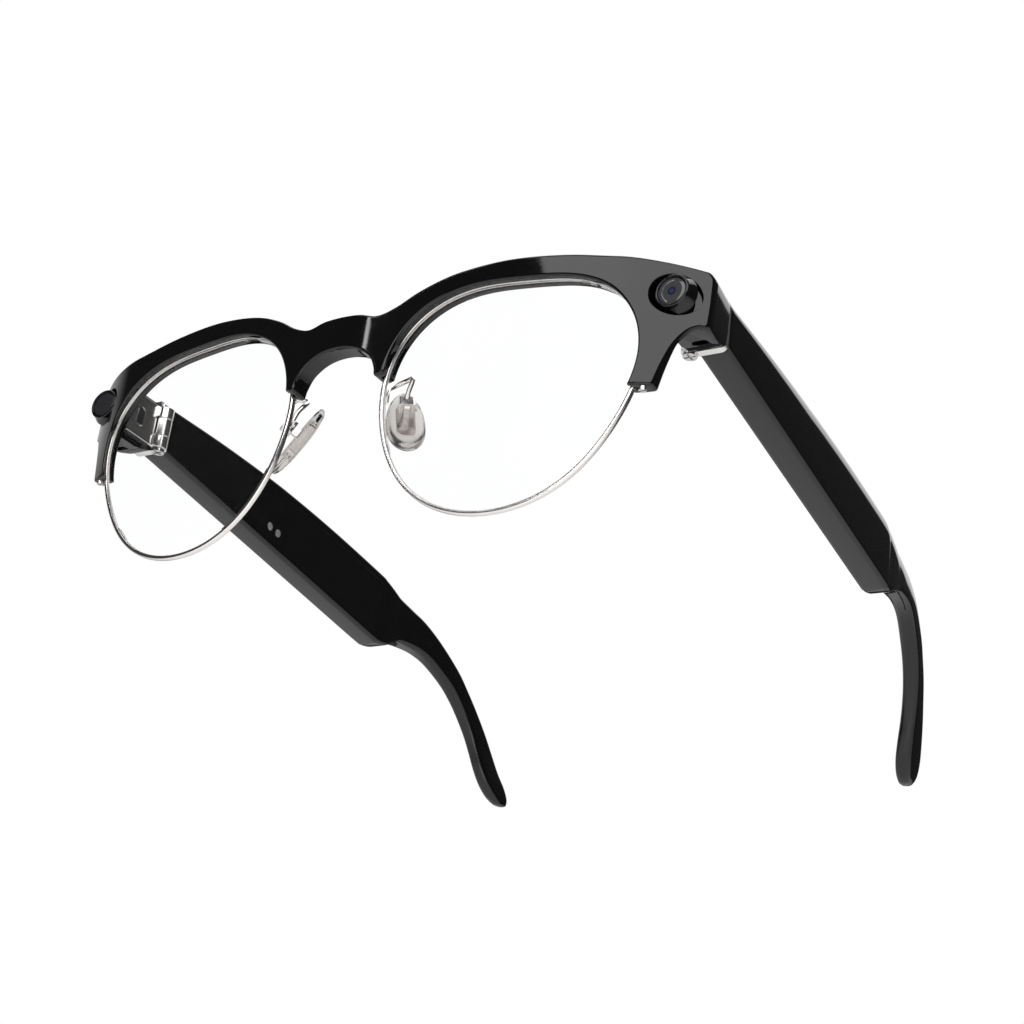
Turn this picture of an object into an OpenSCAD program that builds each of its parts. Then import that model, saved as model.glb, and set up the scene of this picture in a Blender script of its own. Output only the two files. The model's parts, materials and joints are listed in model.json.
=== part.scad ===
// Browline smart glasses: a glossy black brow bar carries thin metal rims, a camera at one corner and a
// status light at the other; thick temples fold on barrel hinges and hold the electronics.
// Millimetres, +Z up, front towards -Y. The glasses stand on their rims and ear tips at Z = 0.

/* [Front] */
// Distance between the two lens centres
lens_pitch = 70; // [66:0.5:74]
// Height of the lens centre line above the table
lens_height = 29.45; // [29.45:0.05:29.8]
// Turn of each lens about the vertical
wrap_angle = 5.8; // [4:0.1:7]
// Thickness of the brow bar, front to back
bar_depth = 4.2; // [4:0.1:5]
// Width of each half of the brow bar to its outer corner
half_width = 69.8; // [69:0.1:71]

/* [Rims and lenses] */
// Width of the rim wire, front to back
rim_w = 1.3; // [1.2:0.1:1.4]
// Height of the rim wire, across its path
rim_h = 1; // [0.9:0.1:1.1]
// Thickness of a lens
lens_t = 1.2; // [1:0.1:2.2]

/* [Corner modules] */
// Radius of the camera and light barrels
barrel_r = 3.9; // [3.7:0.1:4.1]
// Radius of the round window in each barrel
window_r = 2.6; // [2:0.1:2.8]
// Depth of the window behind the barrel's own lip
window_set = 0.25; // [0.1:0.05:0.4]

/* [Temples] */
// Inward toe of each open temple
toe_angle = 0.6; // [0.2:0.1:1]
// Thickness of the electronics housing
pod_t = 6.2; // [6:0.1:6.6]
// Wall of the electronics housing
pod_wall = 1.1; // [0.9:0.1:1.3]

/* [Hinge] */
// Radius of the hinge knuckles
knuckle_r = 1.7; // [1.6:0.05:1.8]
// Radius of the hinge screw's shank
hinge_pin_r = 0.7; // [0.6:0.05:0.8]
// Radial running clearance on pins
run_gap = 0.04; // [0.02:0.01:0.08]

/* [Nose pads] */
// Length of a pad
pad_l = 16.2; // [15:0.1:17]
// Width of a pad
pad_w = 7.2; // [6.5:0.1:8]
// Thickness of a pad
pad_t = 2.6; // [2.2:0.1:3]

/* [Hidden] */

// Shared sizes
touch = 0.02;                  // overlap that lets cutters break through a face
steps = 96;                    // points round a lens outline
half_pitch = lens_pitch / 2;
wrap_slope = tan(wrap_angle);
nose_x = 7;                    // half width of the bridge's flat-fronted middle
sweep_x = 54.5;                  // where the corners start to sweep back
sweep_rate = 0.027;            // sharpness of that sweep, per millimetre
inner_x = 62.3;                // inner wall of the end pieces
end_y = 17;                    // back wall of the end pieces
end_bottom = 4.4;              // underside of the end pieces
side_x = 68.7;                 // outer wall of the end pieces at their back
depth_mid = 74.26;             // middle of the open glasses, front to back

// Lens outline: a polar curve about a point below the lens centre line, angle 0 pointing outboard
outline_drop = 6.5;
function outline_r(a) = 23.9 - 0.2 * cos(a) + 1.2 * sin(a) + cos(2 * a) + 0.6 * sin(2 * a)
  + 0.1 * cos(3 * a) + 1.2 * sin(3 * a) - 0.5 * cos(4 * a) + 0.1 * sin(4 * a)
  + pow(max(0, cos(a - 108)), 6);
function on_outline(a) = [outline_r(a) * cos(a), outline_r(a) * sin(a) - outline_drop];
function outline_normal(a) = let (d = on_outline(a + 0.5) - on_outline(a - 0.5), n = norm(d))
    [d[1] / n, -d[0] / n];
function outline_at(a, grow) = on_outline(a) + grow * outline_normal(a);
function lens_outline(grow) = [for (i = [0 : steps - 1]) outline_at(360 * i / steps, grow)];

// Smooth open curve through hand-set points (Catmull-Rom), n pieces a span
function bend(p, q, r, s, t) = 0.5 * (2 * q + (r - p) * t + (2 * p - 5 * q + 4 * r - s) * t * t
  + (3 * q - p - 3 * r + s) * t * t * t);
function smooth(pts, n) = let (k = len(pts) - 1) [
  for (i = [0 : k - 1]) for (j = [0 : n - 1])
    bend(pts[max(i - 1, 0)], pts[i], pts[i + 1], pts[min(i + 2, k)], j / n),
  pts[k]];
function flip(pts) = [for (i = [len(pts) - 1 : -1 : 0]) [-pts[i][0], pts[i][1]]];
function reversed(pts) = [for (i = [len(pts) - 1 : -1 : 0]) pts[i]];

// Solid skin through a list of rings that all have the same number of points
module loft(rings, closed = false) {
  n = len(rings[0]);
  m = len(rings);
  points = [for (r = rings) for (p = r) p];
  sides = [for (i = [0 : closed ? m - 1 : m - 2]) for (j = [0 : n - 1])
    let (a = i * n + j, b = i * n + (j + 1) % n, c = ((i + 1) % m) * n + j, d = ((i + 1) % m)
        * n + (j + 1) % n)
    each [[a, b, d], [a, d, c]]];
  ends = closed ? [] : [[for (j = [n - 1 : -1 : 0]) j], [for (j = [0 : n - 1]) (m - 1) * n + j]];
  polyhedron(points, concat(sides, ends), convexity = 6);
}

// Plan of the front: y of the front face, of the split between the two shells, and of the back face
function wrap_y(x) = wrap_slope * (abs(x) - half_pitch);
bar_half = bar_depth / 2;
function front_y(x) = let (a = abs(x))
  a < nose_x ? wrap_y(nose_x) - bar_half - wrap_slope * (nose_x * nose_x - a * a) / (2 * nose_x)
  : wrap_y(a) - bar_half + (a > sweep_x ? sweep_rate * pow(a - sweep_x, 2) : 0);
function mid_y(x) = let (a = abs(x)) a < nose_x ? front_y(a) + bar_half : wrap_y(a);
function back_y(x) = mid_y(x) + bar_half;
plan_steps = [for (i = [-28 : 28]) i / 28];

// Front view of the brow bar, right half, from the bridge's top round to its underside
arm_bottom = -8;
brow_top = [[0, 13.5], [4, 13.3], [7.8, 12.5], [11.5, 13.8], [16, 16.5], [22, 18.9], [29, 20.2], [36, 20.5],
  [45, 19.7], [54, 18], [62, 16.5], [half_width - 0.6, 15.5]];
arm_outside = [[68.2, end_bottom], [66.9, 3.5], [65.7, 1.9], [64.7, 0], [63.9, -2.2], [63.2, -4.4],
  [62.5, arm_bottom + 1]];
bridge_under = [[8.9, 0.3], [8.6, 1.7], [7.4, 4], [5, 5.7], [2.4, 6.5], [0, 6.7]];
open_from = -3.6;              // outline angle where the outer arm ends
open_to = 164.5;               // outline angle where the nose arm ends
ridge_grow = -0.45;            // the bar's edge against the rim wire's centre line
function lens_edge(a) = let (p = outline_at(a, ridge_grow)) [half_pitch + p[0] * cos(wrap_angle), p[1]];
opening = [for (i = [0 : 54]) lens_edge(open_from + (open_to - open_from) * i / 54)];
brow_half = concat(
  smooth(brow_top, 6),
  [[half_width, 14.9], [half_width - 0.1, 9], [half_width - 0.3, 5], [half_width - 0.9, end_bottom]],
  smooth(arm_outside, 5),
  [[62.1, arm_bottom], [58.9, arm_bottom]],
  opening,
  [[9.9, -0.2], [9, -0.2]],
  smooth(bridge_under, 5));
brow_outline = concat(brow_half, [for (i = [len(brow_half) - 2 : -1 : 1])
    [-brow_half[i][0], brow_half[i][1]]]);

// Corner barrels, hinge and temple places
barrel_x = 64.4;
barrel_z = 10;
barrel_front = 2.1;
barrel_back = 8;
lip_r = 3.2;                   // barrels are narrower at their lips
flat_x = 63.2;                 // behind flat_y a barrel is cut flat here, clear of the hinge bracket
flat_y = 4.2;
hinge_x = 61.2;
hinge_y = 17;
// bottom and top of each knuckle, the middle one on the temple
knuckles = [[6.3, 9.0], [9.1, 13.0], [13.1, 15.6]];
pocket = [[inner_x - touch, 8.6, 5.8], [67.7, 14.4, 14.2]];  // hollow of an end piece

// Temple outline in its own frame, origin on the hinge axis: [along, height] of its lower and upper edges,
// thickness, and how far its middle leans inward from the straight housing
plate_y = 0.12;
plate_t = 0.8;
pod_in = 0.45;                 // inner face of the housing, outboard of the hinge axis
pod_mid = pod_in + pod_t / 2;
function pod_low(y) = 7 - 0.1325 * (y - 0.92);
function pod_high(y) = 17.3 + 0.018 * (y - 0.92) - 0.00096 * pow(y - 0.92, 2);
pod_stations = concat([for (y = [0.92, 20, 40, 60, 81]) [[y, pod_low(y)], [y, pod_high(y)], pod_t, 0]], [
  [[84.5, -3.9], [84.5, 11.9], pod_t - 0.1, 0.05],
  [[87.6, -3.2], [87.4, 11.1], pod_t - 0.3, 0.1],
  [[90.4, -1.7], [89.6, 10.5], pod_t - 0.6, 0.15],
  [[93, -0.5], [91.6, 10], pod_t - 0.9, 0.25]]);
tip_stations = [
  [[93, -0.5], [91.6, 10], pod_t - 0.9, 0.25],
  [[97, 0.1], [97, 9.2], 4.9, 0.5],
  [[102, 0.2], [103.5, 8], 4.5, 1],
  [[107, -0.9], [110.4, 5.3], 4.2, 1.8],
  [[113, -4], [117.2, 0.9], 4.1, 3.1],
  [[117, -7.2], [121.4, -3.1], 4, 4],
  [[120, -10.7], [125.4, -7.6], 3.9, 4.9],
  [[122.4, -14.5], [128.7, -12.2], 3.8, 5.9],
  [[124, -18], [131.3, -16.6], 3.8, 6.8],
  [[125.4, -21.8], [133.7, -21], 3.8, 7.8],
  [[127.2, -25.4], [135.9, -24.3], 3.7, 8.8],
  [[129.6, -28], [136.9, -27], 3.3, 9.6],
  [[131.8, -29.2], [136.4, -28.7], 2.4, 10.1],
  [[133.2, -29.45], [135, -29.3], 1.2, 10.3]];
section_n = 20;
// Rounded-oblong ring between a lower and an upper point: corner radius r, or big_r at the outer top corner
function ring(low, high, t, lean, r, big_r) = let (up = high - low, h = norm(up), u = up / h)
  [for (i = [0 : section_n - 1]) let (
    q = floor(i / (section_n / 4)), a = 90 * q + 90 * (i % (section_n / 4)) / (section_n / 4 - 1),
    rr = min(q == 0 ? big_r : r, t / 2.02, h / 2.02),
    cx = (q == 0 || q == 3) ? t / 2 - rr : rr - t / 2, cz = (q < 2) ? h - rr : rr,
    x = cx + rr * cos(a), z = cz + rr * sin(a))
    [pod_mid - lean + x, low[0] + u[0] * z, low[1] + u[1] * z]];
function station(s, i) = [for (k = [0 : len(s) - 1]) s[k][i]];
function body_rings(s, n, r, big_r) = let (lows = smooth(station(s, 0), n), highs = smooth(station(s,
    1), n),
  ts = smooth(station(s, 2), n), leans = smooth(station(s, 3), n))
  [for (i = [0 : len(lows) - 1]) ring(lows[i], highs[i], ts[i], leans[i], r, big_r)];

module brow_view() { rotate([90, 0, 0]) linear_extrude(height = 80, center = true, convexity = 8)
    polygon(brow_outline); }

module plan(pts) { translate([0, 0, -20]) linear_extrude(height = 60, convexity = 8) polygon(pts); }

module glasses() { translate([0, -depth_mid, lens_height]) children(); }

module on_side(s) { if (s > 0) children(); else mirror([1, 0, 0]) children(); }

module both_sides() { children(); mirror([1, 0, 0]) children(); }

module at_lens(s) { on_side(s) translate([half_pitch, 0, 0]) rotate([0, 0, wrap_angle]) children(); }

module in_temple(s) { on_side(s) translate([hinge_x, hinge_y, 0]) rotate([0, 0, toe_angle]) children(); }

// Flat ring or disc in the lens plane, t thick, centred on it
module lens_slab(outer, t) { rotate([90, 0, 0]) linear_extrude(height = t, center = true)
    polygon(lens_outline(outer)); }

module rim_groove(s) {
  at_lens(s) difference() {
    lens_slab(rim_h / 2 + 0.08, rim_w + 0.06);
    lens_slab(ridge_grow - 1, rim_w + 1);
  }
}

module block(low, high) { translate(low) cube(high - low); }

module along_y(x, z, y0, y1, r, n = 48) { translate([x, y0, z]) rotate([-90, 0, 0])
    cylinder(h = y1 - y0, r = r, $fn = n); }

// ---- front ----
mic_x = 66;
mic_y = 11.4;
module mic_slot(grow, z0, z1) {
  for (dx = [-0.75, 0.75]) translate([mic_x + dx, mic_y, z0])
    cylinder(h = z1 - z0, r = 0.8 + grow, $fn = 32);
  block([mic_x - 0.55, mic_y - 0.65 - grow, z0], [mic_x + 0.55, mic_y + 0.65 + grow, z1]);
}

screw_sites = [[12, 9.9], [57.6, 11.7]];

module brow_front() {
  front = [for (t = plan_steps) [t * half_width, front_y(t * half_width)]];
  split = [for (t = plan_steps) [t * (inner_x - 0.5), mid_y(t * (inner_x - 0.5))]];
  hook = [[side_x, end_y], [inner_x, end_y], [inner_x, 7], [inner_x - 0.5, back_y(inner_x - 0.5)]];
  color([0.02, 0.02, 0.022]) glasses() difference() {
    intersection() {
      brow_view();
      plan(concat(front, hook, reversed(split), reversed([for (p = hook) [-p[0], p[1]]])));
    }
    for (s = [-1, 1]) rim_groove(s);
    both_sides() {
      barrel_bore();
      block(pocket[0], pocket[1]);
      along_y(barrel_x, barrel_z, barrel_back - touch, pocket[0][1] + touch, 1.4);
      translate([hinge_x, hinge_y, 0]) cylinder(h = 20, r = knuckle_r + 0.25, $fn = 48);
      mic_slot(0.02, end_bottom - 2, pocket[0][2] + touch);
      block([inner_x - 1.5, back_y(inner_x), arm_bottom - 1], [half_width + 1, end_y + 1, end_bottom]);
      for (p = screw_sites) along_y(p[0], p[1], mid_y(p[0]) - 1.2, mid_y(p[0]) + 4, 0.4, 32);
      intersection() { flex_run(0.12, 0.05); plan([[-61, -10], [61, -10], [61, 10], [-61, 10]]); }
    }
  }
}

module brow_back() {
  x_end = inner_x - 0.6;
  split = [for (t = plan_steps) [t * x_end, mid_y(t * x_end)]];
  back = [for (t = plan_steps) [t * x_end, back_y(t * x_end)]];
  color([0.02, 0.02, 0.022]) glasses() difference() {
    intersection() {
      brow_view();
      plan(concat(split, reversed(back)));
    }
    for (s = [-1, 1]) rim_groove(s);
    both_sides() {
      barrel_bore();
      for (p = screw_sites) {
        along_y(p[0], p[1], mid_y(p[0]) - 1, back_y(p[0]) - 0.5, 0.4, 32);
        along_y(p[0], p[1], back_y(p[0]) - 0.52, back_y(p[0]) + 2, 0.8, 32);
      }
    }
  }
}

// Flex cable along the bar, let into the front shell at the split
flex_line = [[0, 9.9], [7, 9.9], [12, 11.8], [16, 14], [20, 16.3], [26.6, 18.4], [35, 18.9],
    [43, 18.3], [52, 16.3],
  [57.4, 14.4], [60, 13.2]];
flex_h = 0.5;
module flex_run(depth, grow) {
  line = smooth(flex_line, 4);
  edge = concat([for (p = line) [p[0], p[1] + flex_h + grow]], reversed([for (p = line)
      [p[0], p[1] - flex_h - grow]]));
  strip = concat([for (t = plan_steps) [t * 60, mid_y(t * 60) - depth]], reversed([for (t = plan_steps)
      [t * 60, mid_y(t * 60) + touch]]));
  intersection() {
    rotate([90, 0, 0]) linear_extrude(height = 40, center = true, convexity = 6)
        polygon(concat(edge, flip(edge)));
    plan(strip);
  }
}

module front_flex() {
  line = smooth(flex_line, 4);
  edge = concat([for (p = line) [p[0], p[1] + flex_h]], reversed([for (p = line) [p[0], p[1] - flex_h]]));
  color([0.75, 0.45, 0.1]) glasses() for (s = [-1, 1]) on_side(s) intersection() {
    rotate([90, 0, 0]) linear_extrude(height = 40, center = true, convexity = 6) polygon(edge);
    plan(concat([for (t = plan_steps) [t * 60, mid_y(t * 60) - 0.12]], reversed([for (t = plan_steps)
        [t * 60, mid_y(t * 60)]])));
  }
}

module brow_screws() {
  color([0.15, 0.15, 0.16]) glasses() both_sides() for (p = screw_sites) {
    along_y(p[0], p[1], mid_y(p[0]) - 0.9, back_y(p[0]) - 0.5, 0.38, 24);
    difference() {
      along_y(p[0], p[1], back_y(p[0]) - 0.5, back_y(p[0]) - 0.05, 0.76, 32);
      block([p[0] - 0.5, back_y(p[0]) - 0.25, p[1] - 0.1], [p[0] + 0.5, back_y(p[0]) + 1, p[1] + 0.1]);
      block([p[0] - 0.1, back_y(p[0]) - 0.25, p[1] - 0.5], [p[0] + 0.1, back_y(p[0]) + 1, p[1] + 0.5]);
    }
  }
}

// Rim wire: a U channel that holds the lens's tongue
module rim(s) {
  a = rim_h / 2;
  b = rim_w / 2;
  profile = [[-a, -b], [-a, -0.25], [-0.1, -0.25], [-0.1, 0.25], [-a, 0.25], [-a, b], [a - 0.3, b],
      [a, b - 0.3],
    [a, 0.3 - b], [a - 0.3, -b]];
  color([0.78, 0.76, 0.75]) glasses() at_lens(s)
    loft([for (i = [0 : steps - 1]) let (g = 360 * i / steps)
      [for (q = profile) let (p = outline_at(g, q[0])) [p[0], q[1], p[1]]]], true);
}

module lens(s) {
  color([0.9, 0.95, 0.97, 0.3]) glasses() at_lens(s) {
    lens_slab(-rim_h / 2 - 0.05, lens_t);
    lens_slab(-0.15, 0.4);
  }
}

// Closing screws of the rims, under the outer arms of the bar
module rim_locks() {
  x = 60.55;
  y = wrap_y(x);
  color([0.7, 0.7, 0.7]) glasses() both_sides() difference() {
    translate([x, y, arm_bottom - 0.7]) cylinder(h = 0.7, r = 0.7, $fn = 32);
    block([x - 1, y - 0.12, arm_bottom - 1], [x + 1, y + 0.12, arm_bottom - 0.4]);
  }
}

// ---- corner modules ----
module flatted(gap) {
  difference() {
    children();
    block([flat_x - 6, flat_y + gap, 0], [flat_x - gap, 20, 25]);
  }
}

module barrel_bore() { flatted(0.05) along_y(barrel_x, barrel_z, -4, barrel_back, barrel_r + 0.05, 72); }

module barrel() {
  flatted(0) translate([barrel_x, barrel_front, barrel_z]) rotate([-90, 0, 0]) rotate_extrude($fn = 72)
      polygon([
    [window_r, window_set], [window_r + 0.15, 0], [lip_r - 0.2, 0], [lip_r, 0.2], [lip_r, 0.8],
        [barrel_r, 2],
    [barrel_r, barrel_back - barrel_front], [2, barrel_back - barrel_front], [2, window_set + 0.8],
        [window_r, window_set + 0.8]]);
}

module window_disc() {
  along_y(barrel_x, barrel_z, barrel_front + window_set, barrel_front + window_set + 0.8, window_r, 72);
}

module camera_barrel() { color([0.04, 0.04, 0.045]) glasses() barrel(); }

module camera_window() { color([0.15, 0.15, 0.18]) glasses() window_disc(); }

module camera_module() {
  color([0.1, 0.1, 0.1]) glasses() {
    along_y(barrel_x, barrel_z, barrel_front + window_set + 0.8, barrel_back, 1.1, 48);
    along_y(barrel_x, barrel_z, barrel_back - 0.1, 8.7, 1.1, 48);
    block([barrel_x - 0.9, 8.62, barrel_z - 2.4], [barrel_x + 3.1, 10.6, barrel_z + 2.4]);
  }
}

module light_barrel() { color([0.04, 0.04, 0.045]) glasses() on_side(-1) barrel(); }

module light_window() { color([0.2, 0.2, 0.2]) glasses() on_side(-1) window_disc(); }

module light_board() {
  color([0.05, 0.3, 0.12]) glasses() on_side(-1) {
    along_y(barrel_x, barrel_z, 3.6, 8.65, 1.1, 32);
    block([barrel_x - 0.9, 8.62, barrel_z - 2.4], [barrel_x + 3.1, 9.4, barrel_z + 2.4]);
  }
}

module microphones() {
  color([0.01, 0.01, 0.01]) glasses() both_sides() mic_slot(0, end_bottom + 0.5, pocket[0][2]);
}

module endpiece_cover(s) {
  color([0.03, 0.03, 0.03]) glasses() on_side(s)
    block([inner_x, pocket[0][1], pocket[0][2]], [inner_x + 0.9, pocket[1][1], pocket[1][2]]);
}

// ---- hinges ----
module knuckle(k, r) {
  translate([hinge_x, hinge_y, knuckles[k][0]])
      cylinder(h = knuckles[k][1] - knuckles[k][0], r = r, $fn = 48);
}

module pin_bore(r) { translate([hinge_x, hinge_y, 0]) cylinder(h = 30, r = r, $fn = 48); }

module hinge_bracket(s) {
  plate_x = inner_x - 0.8;
  color([0.72, 0.71, 0.7]) glasses() on_side(s) difference() {
    union() {
      block([plate_x, 7.2, knuckles[0][0]], [inner_x, hinge_y - 1.2, knuckles[2][1]]);
      for (k = [0, 2]) {
        knuckle(k, knuckle_r);
        block([plate_x - 0.9, hinge_y - 2.2, knuckles[k][0]], [inner_x, hinge_y - 0.9, knuckles[k][1]]);
      }
    }
    translate([hinge_x, hinge_y, knuckles[1][0] - 0.1])
        cylinder(h = knuckles[1][1] - knuckles[1][0] + 0.2, r = knuckle_r + 0.25, $fn = 48);
    pin_bore(hinge_pin_r + run_gap);
    for (dz = [-1, 1]) translate([plate_x - 1, 10.6, 10.9 + dz]) rotate([0, 90, 0])
        cylinder(h = 3, r = 1, $fn = 32);
    block([plate_x - 1, 9.6, 9.9], [plate_x + 2, 11.6, 11.9]);
  }
}

module hinge_screw(s) {
  color([0.8, 0.8, 0.8]) glasses() on_side(s) translate([hinge_x, hinge_y, 0]) difference() {
    union() {
      translate([0, 0, knuckles[0][0] - 0.02])
          cylinder(h = knuckles[2][1] - knuckles[0][0], r = hinge_pin_r, $fn = 48);
      translate([0, 0, knuckles[0][0] - 0.75]) cylinder(h = 0.73, r = 1.35, $fn = 48);
    }
    block([-1.1, -0.18, knuckles[0][0] - 1], [1.1, 0.18, knuckles[0][0] - 0.35]);
    block([-0.18, -1.1, knuckles[0][0] - 1], [0.18, 1.1, knuckles[0][0] - 0.35]);
  }
}

module temple_plate(s) {
  color([0.78, 0.77, 0.76]) glasses() in_temple(s) difference() {
    union() {
      difference() {
        loft([for (y = [plate_y, plate_y + plate_t]) ring([y, 6.9], [y, 17.4], pod_t + 0.1, 0, 1.2, 2.6)]);
        cylinder(h = 30, r = knuckle_r + 0.25, $fn = 48);
      }
      difference() {
        block([0, plate_y, knuckles[1][0]], [2.4, plate_y + plate_t, knuckles[1][1]]);
        cylinder(h = 30, r = 1, $fn = 48);
      }
      translate([0, 0, knuckles[1][0]]) cylinder(h = knuckles[1][1] - knuckles[1][0],
          r = knuckle_r, $fn = 48);
    }
    cylinder(h = 30, r = hinge_pin_r + run_gap, $fn = 48);
  }
}

// ---- nose pads ----
pad_at = [12, 3.3, -6.6];
pad_turn = [-26, -7, 39];
pivot_y = -3.0;
pivot_z = 1.2;
function turned(p, a) = let (
  p1 = [p[0], p[1] * cos(a[0]) - p[2] * sin(a[0]), p[1] * sin(a[0]) + p[2] * cos(a[0])],
  p2 = [p1[0] * cos(a[1]) + p1[2] * sin(a[1]), p1[1], p1[2] * cos(a[1]) - p1[0] * sin(a[1])])
  [p2[0] * cos(a[2]) - p2[1] * sin(a[2]), p2[0] * sin(a[2]) + p2[1] * cos(a[2]), p2[2]];

module at_pad(s) { on_side(s) translate(pad_at) rotate(pad_turn) children(); }

module pad_body() {
  n = 24;
  loft([for (i = [0 : 16]) let (t = -cos(180 * i / 16)
      * 0.995, k = pow(1 - pow(abs(t), 2.3), 0.5), w = pad_w / 2 * k * (1 - 0.08 * t),
      h = pad_t / 2 * pow(k, 0.7))
    [for (j = [0 : n - 1]) [w * cos(360 * j / n), h * sin(360 * j / n) - 0.5 * (1 - k), pad_l / 2 * t]]]);
}

module insert_plate() { for (z = [-2.6, 3]) translate([0, 0.3, z]) rotate([90, 0, 0])
    cylinder(h = 0.6, r = 1.7, $fn = 32);
  block([-1.7, -0.3, -2.6], [1.7, 0.3, 3]); }

module pad(s) {
  color([0.85, 0.83, 0.82, 0.6]) glasses() at_pad(s) difference() {
    pad_body();
    insert_plate();
    block([-0.6, -3, pivot_z - 1], [0.6, 0, pivot_z + 1]);
  }
}

module pad_insert(s) {
  color([0.8, 0.79, 0.78]) glasses() at_pad(s) difference() {
    union() {
      insert_plate();
      block([-0.55, pivot_y, pivot_z - 0.9], [0.55, -0.2, pivot_z + 0.9]);
      translate([-0.55, pivot_y, pivot_z]) rotate([0, 90, 0]) cylinder(h = 1.1, r = 0.9, $fn = 48);
    }
    translate([-2, pivot_y, pivot_z]) rotate([0, 90, 0]) cylinder(h = 4, r = 0.45 + run_gap, $fn = 32);
  }
}

module pad_screws() {
  color([0.75, 0.75, 0.75]) glasses() for (s = [-1, 1]) at_pad(s) translate([0, pivot_y, pivot_z])
      rotate([0, 90, 0]) {
    translate([0, 0, -1.45]) cylinder(h = 2.95, r = 0.45, $fn = 32);
    difference() {
      translate([0, 0, 1.46]) cylinder(h = 0.42, r = 0.8, $fn = 32);
      translate([0, 0, 1.85]) cube([2, 0.2, 0.4], center = true);
    }
  }
}

module tube(path, r, n) {
  k = len(path) - 1;
  loft([for (i = [0 : k]) let (d = path[min(i + 1, k)] - path[max(i - 1, 0)],
      t = d / norm(d), u0 = cross(t, [0.3, -0.2, 0.93]), u = u0 / norm(u0), v = cross(t, u))
    [for (j = [0 : n - 1]) path[i] + r * (u * cos(360 * j / n) - v * sin(360 * j / n))]]);
}

module pad_arm(s) {
  box_top = pad_at + turned([0, pivot_y - 1.15, pivot_z + 0.9], pad_turn);
  route = [[10.5, -1.3, -4.6], [10.1, -0.8, -2.6], [9.6, 0.2, -0.8], [10.1, 1.6, 0.7],
      [11.8, 2.1, 1.6], [13.5, 1.5, 1.3], box_top + [0.15, -0.15, 1.1], box_top + [0, 0, -0.6]];
  color([0.78, 0.77, 0.76]) glasses() {
    on_side(s) tube(smooth(route, 4), 0.45, 10);
    at_pad(s) difference() {
      union() {
        block([-1.45, pivot_y - 1.4, pivot_z - 1.2], [1.45, pivot_y - 1.0, pivot_z + 1.2]);
        for (side = [-1, 1]) block([min(side * 0.65, side * 1.45), pivot_y - 1.4, pivot_z - 1.2],
            [max(side * 0.65, side * 1.45), pivot_y + 0.7, pivot_z + 1.2]);
      }
      translate([-2, pivot_y, pivot_z]) rotate([0, 90, 0]) cylinder(h = 4, r = 0.46, $fn = 32);
    }
  }
}

// ---- temples ----
// Hollow of the housing, open on its inner side
hollow_from = 3.2;
hollow_to = 82;
module pod_fill(inset, x0, x1) {
  a = hollow_from + inset;
  b = hollow_to - inset;
  m = pod_wall + 0.4 + inset;
  rotate([90, 0, 90]) translate([0, 0, x0]) linear_extrude(height = x1 - x0)
    polygon(concat([[a, pod_low(a) + m], [b, pod_low(b) + m]],
      [for (i = [4 : -1 : 0]) let (y = a + (b - a) * i / 4) [y, pod_high(y) - m]]));
}

module temple_shell(s) {
  color([0.02, 0.02, 0.022]) glasses() in_temple(s) difference() {
    loft(body_rings(pod_stations, 3, 1.1, 2.6));
    cylinder(h = 30, r = knuckle_r + 0.25, $fn = 48);
    pod_fill(0, pod_in - 1, pod_in + pod_t - pod_wall);
    if (s < 0) button_well();
    translate([pod_mid - 0.4, 80, 5]) rotate([-90, 0, 0]) cylinder(h = 20, r = 0.8, $fn = 32);
  }
}

cover_t = 1.1;
module temple_cover(s) {
  color([0.03, 0.03, 0.032]) glasses() in_temple(s) difference() {
    pod_fill(0, pod_in, pod_in + cover_t);
    if (s < 0) for (c = contact_sites) translate([pod_in - 1, c[0], c[1]]) rotate([0, 90, 0])
        cylinder(h = 4, r = contact_r, $fn = 48);
  }
}

contact_r = 0.9;
contact_sites = [[38.8, 6.3], [41.8, 5.9]];
module charging_contacts() {
  color([0.85, 0.85, 0.83]) glasses() in_temple(-1) for (c = contact_sites)
    translate([pod_in, c[0], c[1]]) rotate([0, 90, 0]) cylinder(h = 1.5, r = contact_r, $fn = 48);
}

module ear_tip(s) {
  color([0.02, 0.02, 0.022]) glasses() in_temple(s) difference() {
    loft(body_rings(tip_stations, 3, 1.5, 2));
    ear_core_path(0.8);
  }
}

module ear_core_path(r) {
  path = [[0.4, 80.6, 5], [0.4, 92, 5], [0.4, 97.5, 4.8], [0.8, 103, 4], [1.6, 109, 2], [2.9, 115, -1.5],
    [4, 119, -5.2], [4.9, 122.6, -9.1]];
  tube([for (p = path) [pod_mid - p[0], p[1], p[2]]], r, 8);
}

module ear_core(s) { color([0.6, 0.6, 0.6]) glasses() in_temple(s) ear_core_path(0.7); }

inside_x = pod_in + cover_t + 0.1;
battery_t = pod_t - pod_wall - cover_t - 0.2;
module battery(s) {
  color([0.35, 0.4, 0.55]) glasses() in_temple(s)
    block([inside_x, 50, 3], [inside_x + battery_t, 72, 11.4]);
}

module circuit_board(s) {
  color([0.05, 0.3, 0.12]) glasses() in_temple(s) {
    block([inside_x + 1.6, 5, 8.9], [inside_x + 2.4, 48, 12.6]);
    for (y = [9, 20, 30]) block([inside_x + 0.6, y, 9.4], [inside_x + 1.6, y + 6, 12.0]);
  }
}

module speaker(s) {
  color([0.12, 0.12, 0.12]) glasses() in_temple(s)
    block([inside_x, 73.5, 0.2], [inside_x + battery_t, 80.2, 9.6]);
}

// Capture button on the top edge of one temple, with its switch below
button_y = 22;
button_l = 9;
button_w = 2.6;
button_slope = atan(0.00192 * (button_y - 0.92) - 0.018);
module in_button() { translate([pod_mid, button_y, pod_high(button_y)]) rotate([-button_slope, 0, 0])
    children(); }

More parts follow.
